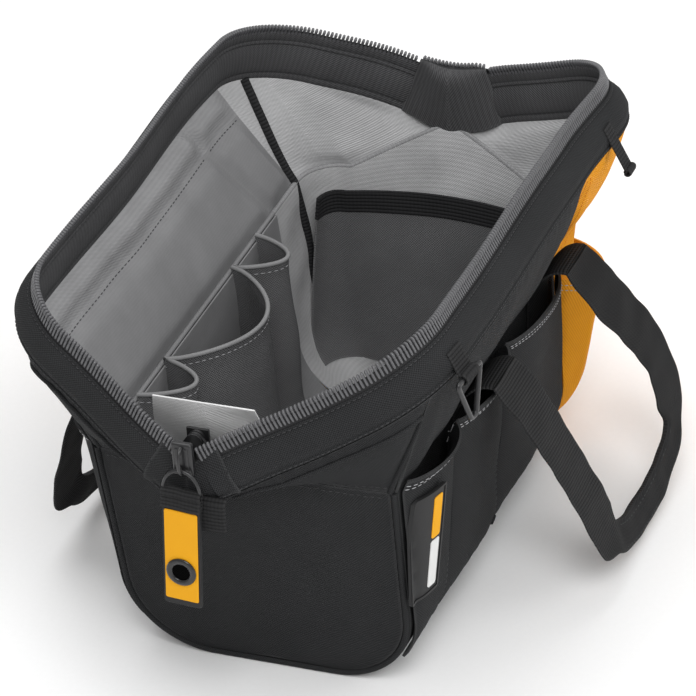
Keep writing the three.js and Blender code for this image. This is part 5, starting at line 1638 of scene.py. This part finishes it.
lip = 120.0 + 18.0 * np.clip((np.abs(ROUND) - CORNER_SHARE) / (1 - CORNER_SHARE), 0, 1)
wall = np.array(
    [[wall_at(s, POCKET_FOOT + (l - POCKET_FOOT) * t) for s, l in zip(ROUND, lip)] for t in levels]
)
grown = np.clip((1 - np.abs(ROUND)) / (1 - CORNER_SHARE), 0, 1) ** 0.7
reach = 2 * GAP + CLOTH + 18.0 * grown[None] * levels[:, None] ** 0.8
grid = rumple(wall - inward(wall) * reach[..., None], 3.0, 50, 31, 12)
far_pocket = puckered(grid, 0.5, 15.0, 10.0, from_top=False)
sewn(cloth("far_pocket_cloth", far_pocket, ORANGE_CLOTH), "bag", "orange_fabric", "far_pocket")
for k, inset in enumerate((4.6, 8.6)):
    line, normal = row_line(far_pocket, inset)
    sewn(stitches(f"far_pocket_topstitch_{k}", line, normal, PALE_THREAD), "bag", "orange_fabric")

# Handles: legs sewn to the walls, and loops that swing over the pockets


def leg_path(side, x):
    z = np.linspace(62, 154, 24)
    wall = np.stack([np.full(24, x), side * (wall_half(z) + 1.4), z], -1)
    a = wall[-1]
    p = [
        a, np.array([x, a[1] + side * 6, (a[2] + 180) / 2]),
        np.array([x, (a[1] + side * 127.3) / 2, 180.0]), np.array([x, side * 127.3, 178.5])
    ]
    s = np.linspace(0, 1, 25)[1:, None]
    curve = p[0] * (1 - s) ** 3 + 3 * p[1] * s * (1 - s) ** 2 + 3 * p[2] * s**2 * (1 - s) + p[3] * s**3
    return np.vstack([wall, curve])


def smooth_curve(places, count):
    """A centripetal curve through places, at equal lengths."""
    P = np.array(places, float)
    P = np.vstack([2 * P[0] - P[1], P, 2 * P[-1] - P[-2]])
    run = []
    for i in range(1, len(P) - 2):
        p0, p1, p2, p3 = P[i - 1 : i + 3]
        d = [max(np.linalg.norm(b - a) ** 0.5, 1e-3) for a, b in ((p0, p1), (p1, p2), (p2, p3))]
        m1 = ((p1 - p0) / d[0] - (p2 - p0) / (d[0] + d[1]) + (p2 - p1) / d[1]) * d[1]
        m2 = ((p2 - p1) / d[1] - (p3 - p1) / (d[1] + d[2]) + (p3 - p2) / d[2]) * d[1]
        s = np.linspace(0, 1, 40, endpoint=False)[:, None]
        run.append(
            p1 + m1 * s + (-3 * p1 + 3 * p2 - 2 * m1 - m2) * s**2 + (2 * p1 - 2 * p2 + m1 + m2) * s**3
        )
    run.append(P[-2][None])
    return resample(np.vstack(run), count)


def loop_places(side):
    """The loop hangs from both legs; the left one swings a little towards the zip's end."""
    shift = -42.0 if side > 0 else 0.0
    near, far = -24.0 + shift, 100.0 + shift
    return [
        (-65, 127.7, 178.5), (-65 + (near - 14 + 65) * 0.3, 140.0, 154.5), (near - 14, 164.2, 85.8),
        (near, 176, 42), (near + 28, 177, 24), (far - 26, 177, 24), (far + 4, 176, 42),
        (far + 14, 164.2, 85.8), (80, 140.0, 154.5), (72, 127.7, 178.5)
    ]


for word, side in SIDES:
    for label, x in (("near", -65.0), ("far", 72.0)):
        path = leg_path(side, x)
        made = belt(f"{word}_{label}_leg_webbing", path, 37.6, (1, 0, 0), WEBBING, 2.2)
        sewn(made, "bag", "webbing", f"{word}_handle_{label}_leg")
    path = smooth_curve([(x, side * y, z) for x, y, z in loop_places(side)], 220)
    ahead = np.gradient(path, axis=0)
    across = np.cross(np.array([0, side, 0.3]), ahead)
    across /= np.linalg.norm(across, axis=1)[:, None]
    t = np.linspace(0, 1, len(path))
    grip = smoothed((t - 0.335) / 0.035) * smoothed((0.685 - t) / 0.035)
    turn_in = smoothed(t / 0.04) * smoothed((1 - t) / 0.04)
    flat = np.where(t[:, None] < 0.5, -side, side) * np.array([[1.0, 0, 0]])
    across = flat + (across - flat) * turn_in[:, None]
    across /= np.linalg.norm(across, axis=1)[:, None]
    width = 37.6 - 16.5 * grip
    thick = 2.2 + 3.2 * grip
    made = belt(f"{word}_handle_webbing", path, width, across, WEBBING, thick, 15, wave=2.0 + side)
    sewn(made, f"{word}_handle", "webbing", f"{word}_handle_loop")
    inside = (t > 0.37) & (t < 0.65)
    face = np.cross(ahead, across)
    face /= np.linalg.norm(face, axis=1)[:, None]
    face *= np.sign(face[:, 1:2] * side)
    for k, way in enumerate((-0.36, 0.36)):
        line = path + across * width[:, None] * way + face * (thick[:, None] / 2 + 0.1)
        sewn(
            stitches(f"{word}_grip_stitch_{k}", line[inside], face[inside], DARK_THREAD),
            f"{word}_handle", "webbing"
        )

# Carrying rings on the band


def straight_down(side, centre, axis, drop=31.0, half=13.5, tip=3.0):
    """A three-cornered ring that hangs from its bar."""
    axis = np.array(axis)
    fall = np.array([0, 0, -1.0]) + axis * axis[2]
    fall /= np.linalg.norm(fall)
    corners = [(-half, 0), (half, 0), (tip, drop), (-tip, drop)]
    line = []
    for i, c in enumerate(corners):
        c = np.array(c)
        back = np.array(corners[i - 1]) - c
        ahead = np.array(corners[(i + 1) % 4]) - c
        back, ahead = back / np.linalg.norm(back), ahead / np.linalg.norm(ahead)
        for s in np.linspace(0, 1, 9):
            at = c + back * 2.7 * (1 - s) ** 2 + ahead * 2.7 * s**2
            line.append(np.array(centre) + axis * at[0] + fall * at[1])
    return np.array(line)


RINGS = {
    "right": (-170.0, (-171.27, -147.82, 246.58), (0.98424, -0.15943, 0.07653)),
    "left": (128.0, (128.89, 148.27, 246.80), (0.99232, -0.11154, -0.05354)),
}


def rim_tab(name, side, x, width, top, foot, bore, body, node):
    """A webbing tab on the outer hem, folded round a bar at its foot."""
    at = float(along(x))
    face, skin = 5.1, 1.6
    turn = np.linspace(pi, -pi / 2 + 0.3, 20)
    centre = np.array([face + bore, foot])
    eye = [
        (centre[0] + (bore + 0.8) * cos(a), centre[1] + (bore + 0.8) * sin(a))
        for a in np.linspace(pi, 3 * pi - 0.5, 26)
    ]
    outline = [(face + 0.85, d) for d in np.linspace(top, foot - 0.5, 12)]
    path = outline + [(o, 2 * foot - d) for o, d in eye]
    origin = rim(side, at, 0, 0)
    out, fall = rim(side, at, 1, 0) - origin, rim(side, at, 0, 1) - origin
    line = np.array([origin + out * o + fall * d for o, d in path])
    return sewn(belt(name, line, width, np.cross(out, fall), WEBBING, skin, 9), body, "webbing", node)


for word, side in SIDES:
    x, centre, axis = RINGS[word]
    centre = np.array(centre) + [
        0, side * rim_sag(side, along(x)) * sin(TILT), -rim_sag(side, along(x)) * cos(TILT)
    ]
    line = straight_down(side, centre, axis)
    ring = tube(f"{word}_ring_wire", line, 1.7, DARK_METAL, 12, closed=True)
    sewn(ring, f"{word}_carry_ring", "dark_metal", f"{word}_carry_ring")
    rim_tab(f"{word}_ring_webbing", side, x, 14.6, 21.0, 40.0, 2.1, f"{word}_frame", f"{word}_ring_tab")
rim_tab("right_loop_webbing", -1.0, 104.0, 11.0, 21.0, 54.0, 1.2, "right_frame", "right_loop_tab")


# Inside: tool loops on the left wall, a pocket on the far wall and a flap under the near V

LOOP_EDGES, LOOP_DEPTHS = (-124.0, -82.0, 31.0, 72.0), (30.0, 44.0, 30.0)
LOOP_FOOT, LOOP_TOP = 44.0, 162.0

strip_columns = []
for k, deep in enumerate(LOOP_DEPTHS):
    for u in np.linspace(0, 1, 33)[(1 if k else 0):]:
        strip_columns.append(
            (LOOP_EDGES[k] + (LOOP_EDGES[k + 1] - LOOP_EDGES[k]) * u, deep * sin(pi * u) ** 0.7)
        )
strip_columns = np.array(strip_columns)
heights = np.linspace(LOOP_FOOT, LOOP_TOP, 25)
wall_y = wall_half(np.minimum(heights, WAIST)) - INNER_FACE - GAP
grid = np.stack(
    np.broadcast_arrays(
        strip_columns[None, :, 0], wall_y[:, None] - strip_columns[None, :, 1], heights[:, None]
    ),
    -1
)
far_side = (0, 900, 100)
grid = rumple(grid, 1.6, 40, 41, 10, centre=far_side)
away = arc_lengths(grid)[1]
roll = smoothed(1 - (away[-1] - away) / 8.0) * 0.8
grid = grid - inward(grid, far_side) * roll[..., None]
loops = between("tool_loop_cloth", grid, grid + inward(grid, far_side) * 1.3, DARK_POCKET)
sewn(loops, "bag", "dark_pocket", "tool_loop_strip")
top_edge = grid[-1] + inward(grid, far_side)[-1] * 0.6 + [0, 0, 0.6]
sewn(tube("tool_loop_piping", top_edge, 1.5, PALE_PIPING, 10), "bag", "dark_pocket")
line, normal = row_line(grid, 5.0, far_side)
sewn(stitches("tool_loop_topstitch", line, normal, PALE_THREAD), "bag", "dark_pocket")

INNER = ROUND[np.abs(ROUND) < CORNER_SHARE - 0.02]
rows = np.linspace(0, 1, 25)
wall = np.array([[wall_at(s, POCKET_FOOT + (146.0 - POCKET_FOOT) * t) for s in INNER] for t in rows])
inset = INNER_FACE + 3 * GAP + 12.0 * rows[:, None] ** 1.5
grid = wall + inward(wall) * inset[..., None]
grid = rumple(grid, 1.6, 45, 43, 10, centre=(500, 0, 90))
inner_pocket = between("far_inner_pocket_cloth", grid, grid - inward(grid) * 1.3, DARK_POCKET)
sewn(inner_pocket, "bag", "dark_pocket", "far_inner_pocket")
tall = float(np.mean(arc_lengths(grid)[1][-1]))
v = arc_lengths(grid)[1]
tape_grid = np.stack([grid[-1] - (grid[-1] - grid[-4]) * s for s in np.linspace(1, 0, 6)])
tape_grid = tape_grid + inward(tape_grid) * 0.5
made = between(
    "far_inner_pocket_binding", tape_grid + [0, 0, 0.6],
    tape_grid - inward(tape_grid) * 2.3 + [0, 0, 0.6], BINDING
)
sewn(made, "bag", "dark_pocket")

# The pale flap stands up from the near lining and leans out under the V; its pale colour is pushed
# brighter as painted light from above
y = np.linspace(-44.0, 44.0, 41)
top_near = near_wall(y / (WAIST_HALF - INNER_FACE), 1.0, INNER_FACE + GAP)
top_near = top_near + [LINING_INSET, 0, 0.6]
top_near[:, 1] = y
tip_x = top_near[:, 0].min() - 15.0
rows = np.linspace(0, 1, 20)[:, None, None]
tip = np.stack([np.full(41, tip_x), y * 0.74, np.full(41, 236.0)], -1)
grid = top_near[None] + (tip - top_near)[None] * rows
grid = grid - [1, 0, 0] * (rows * (1 - rows) * 10)
grid = rumple(grid, 2.0, 40, 47, 10, centre=(-900, 0, 210))
flap = between("near_flap_cloth", grid, grid - inward(grid, (-900, 0, 210)) * 1.0, FLAP_PAINTED_LIT)
sewn(flap, "bag", "pale_lining", "near_lining_flap")


# Hard parts that keep their own shape get a better surface

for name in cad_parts:
    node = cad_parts[name]
    if name.endswith(("bracket", "frame_rod")):
        node.data.materials.clear()
        node.data.materials.append(DARK_METAL)
    elif name.endswith("board"):
        node.data.materials.clear()
        node.data.materials.append(BOARD)


# Camera, light and floor

CAMERA = {"turn": -66.56, "height": 32.22, "roll": -4.51, "distance": 2498.44, "focal": 5099.12}
CENTRE = Vector((-566.82, -243.32, 524.57)) * MM
a, e, r = (radians(CAMERA[k]) for k in ("turn", "height", "roll"))
back = Vector((sin(a) * cos(e), -cos(a) * cos(e), sin(e)))
right = (-back).cross(Vector((0, 0, 1))).normalized()
up = right.cross(-back)
right, up = right * cos(r) + up * sin(r), up * cos(r) - right * sin(r)
lens = bpy.data.cameras.new("view")
lens.sensor_width = 36
lens.lens = CAMERA["focal"] * 36 / 696
lens.clip_start, lens.clip_end = 0.1, 30
camera = bpy.data.objects.new("view", lens)
bpy.context.scene.collection.objects.link(camera)
camera.matrix_world = Matrix.Translation(
    CENTRE + back * CAMERA["distance"] * MM
) @ Matrix((right, up, back)).transposed().to_4x4()
bpy.context.scene.camera = camera


def lamp(name, place, aim, power, size):
    light = bpy.data.lights.new(name, "AREA")
    light.energy, light.size = power, size
    made = bpy.data.objects.new(name, light)
    bpy.context.scene.collection.objects.link(made)
    made.location = place
    made.rotation_euler = (Vector(aim) - Vector(place)).to_track_quat("-Z", "Y").to_euler()
    return made


lamp("key_light", (-1.4, -0.9, 2.0), (-0.05, 0, 0.12), 33, 1.2)
lamp("fill_light", (0.4, -2.0, 1.1), (0, 0, 0.12), 14, 1.6)
lamp("top_light", (0.3, 0.6, 2.2), (0, 0, 0.12), 18, 1.6)

bpy.ops.object.select_all(action="DESELECT")
bpy.ops.mesh.primitive_plane_add(size=12, location=(0, 0, 0))
ground = bpy.context.object
ground.name = "studio_floor"
paper = bpy.data.materials.new("studio_paper")
paper.use_nodes = True
paper_tree = paper.node_tree
paper_shader = paper_tree.nodes["Principled BSDF"]
paper_shader.inputs["Roughness"].default_value = 0.9
place = paper_tree.nodes.new("ShaderNodeTexCoord")
tooth = paper_tree.nodes.new("ShaderNodeTexNoise")
tooth.inputs["Scale"].default_value = 300
paper_tree.links.new(place.outputs["Object"], tooth.inputs["Vector"])
pale = paper_tree.nodes.new("ShaderNodeMix")
pale.data_type = "RGBA"
pale.inputs[6].default_value = (0.93, 0.93, 0.93, 1)
pale.inputs[7].default_value = (0.96, 0.96, 0.96, 1)
paper_tree.links.new(tooth.outputs["Fac"], pale.inputs[0])
paper_tree.links.new(pale.outputs[2], paper_shader.inputs["Base Color"])
ground.data.materials.append(paper)

world = bpy.data.worlds.new("studio_air")
bpy.context.scene.world = world
world.use_nodes = True
air = world.node_tree
air.nodes.clear()
soft = air.nodes.new("ShaderNodeBackground")
soft.inputs["Color"].default_value = (1, 1, 1, 1)
soft.inputs["Strength"].default_value = 0.58
white = air.nodes.new("ShaderNodeBackground")
white.inputs["Color"].default_value = (1, 1, 1, 1)
white.inputs["Strength"].default_value = 1.0
path_kind = air.nodes.new("ShaderNodeLightPath")
either = air.nodes.new("ShaderNodeMath")
either.operation = "MAXIMUM"
air.links.new(path_kind.outputs["Is Camera Ray"], either.inputs[0])
air.links.new(path_kind.outputs["Is Transmission Ray"], either.inputs[1])
mix_air = air.nodes.new("ShaderNodeMixShader")
air.links.new(either.outputs[0], mix_air.inputs[0])
air.links.new(soft.outputs[0], mix_air.inputs[1])
air.links.new(white.outputs[0], mix_air.inputs[2])
out = air.nodes.new("ShaderNodeOutputWorld")
air.links.new(mix_air.outputs[0], out.inputs["Surface"])

bpy.context.scene.view_settings.view_transform = "Standard"
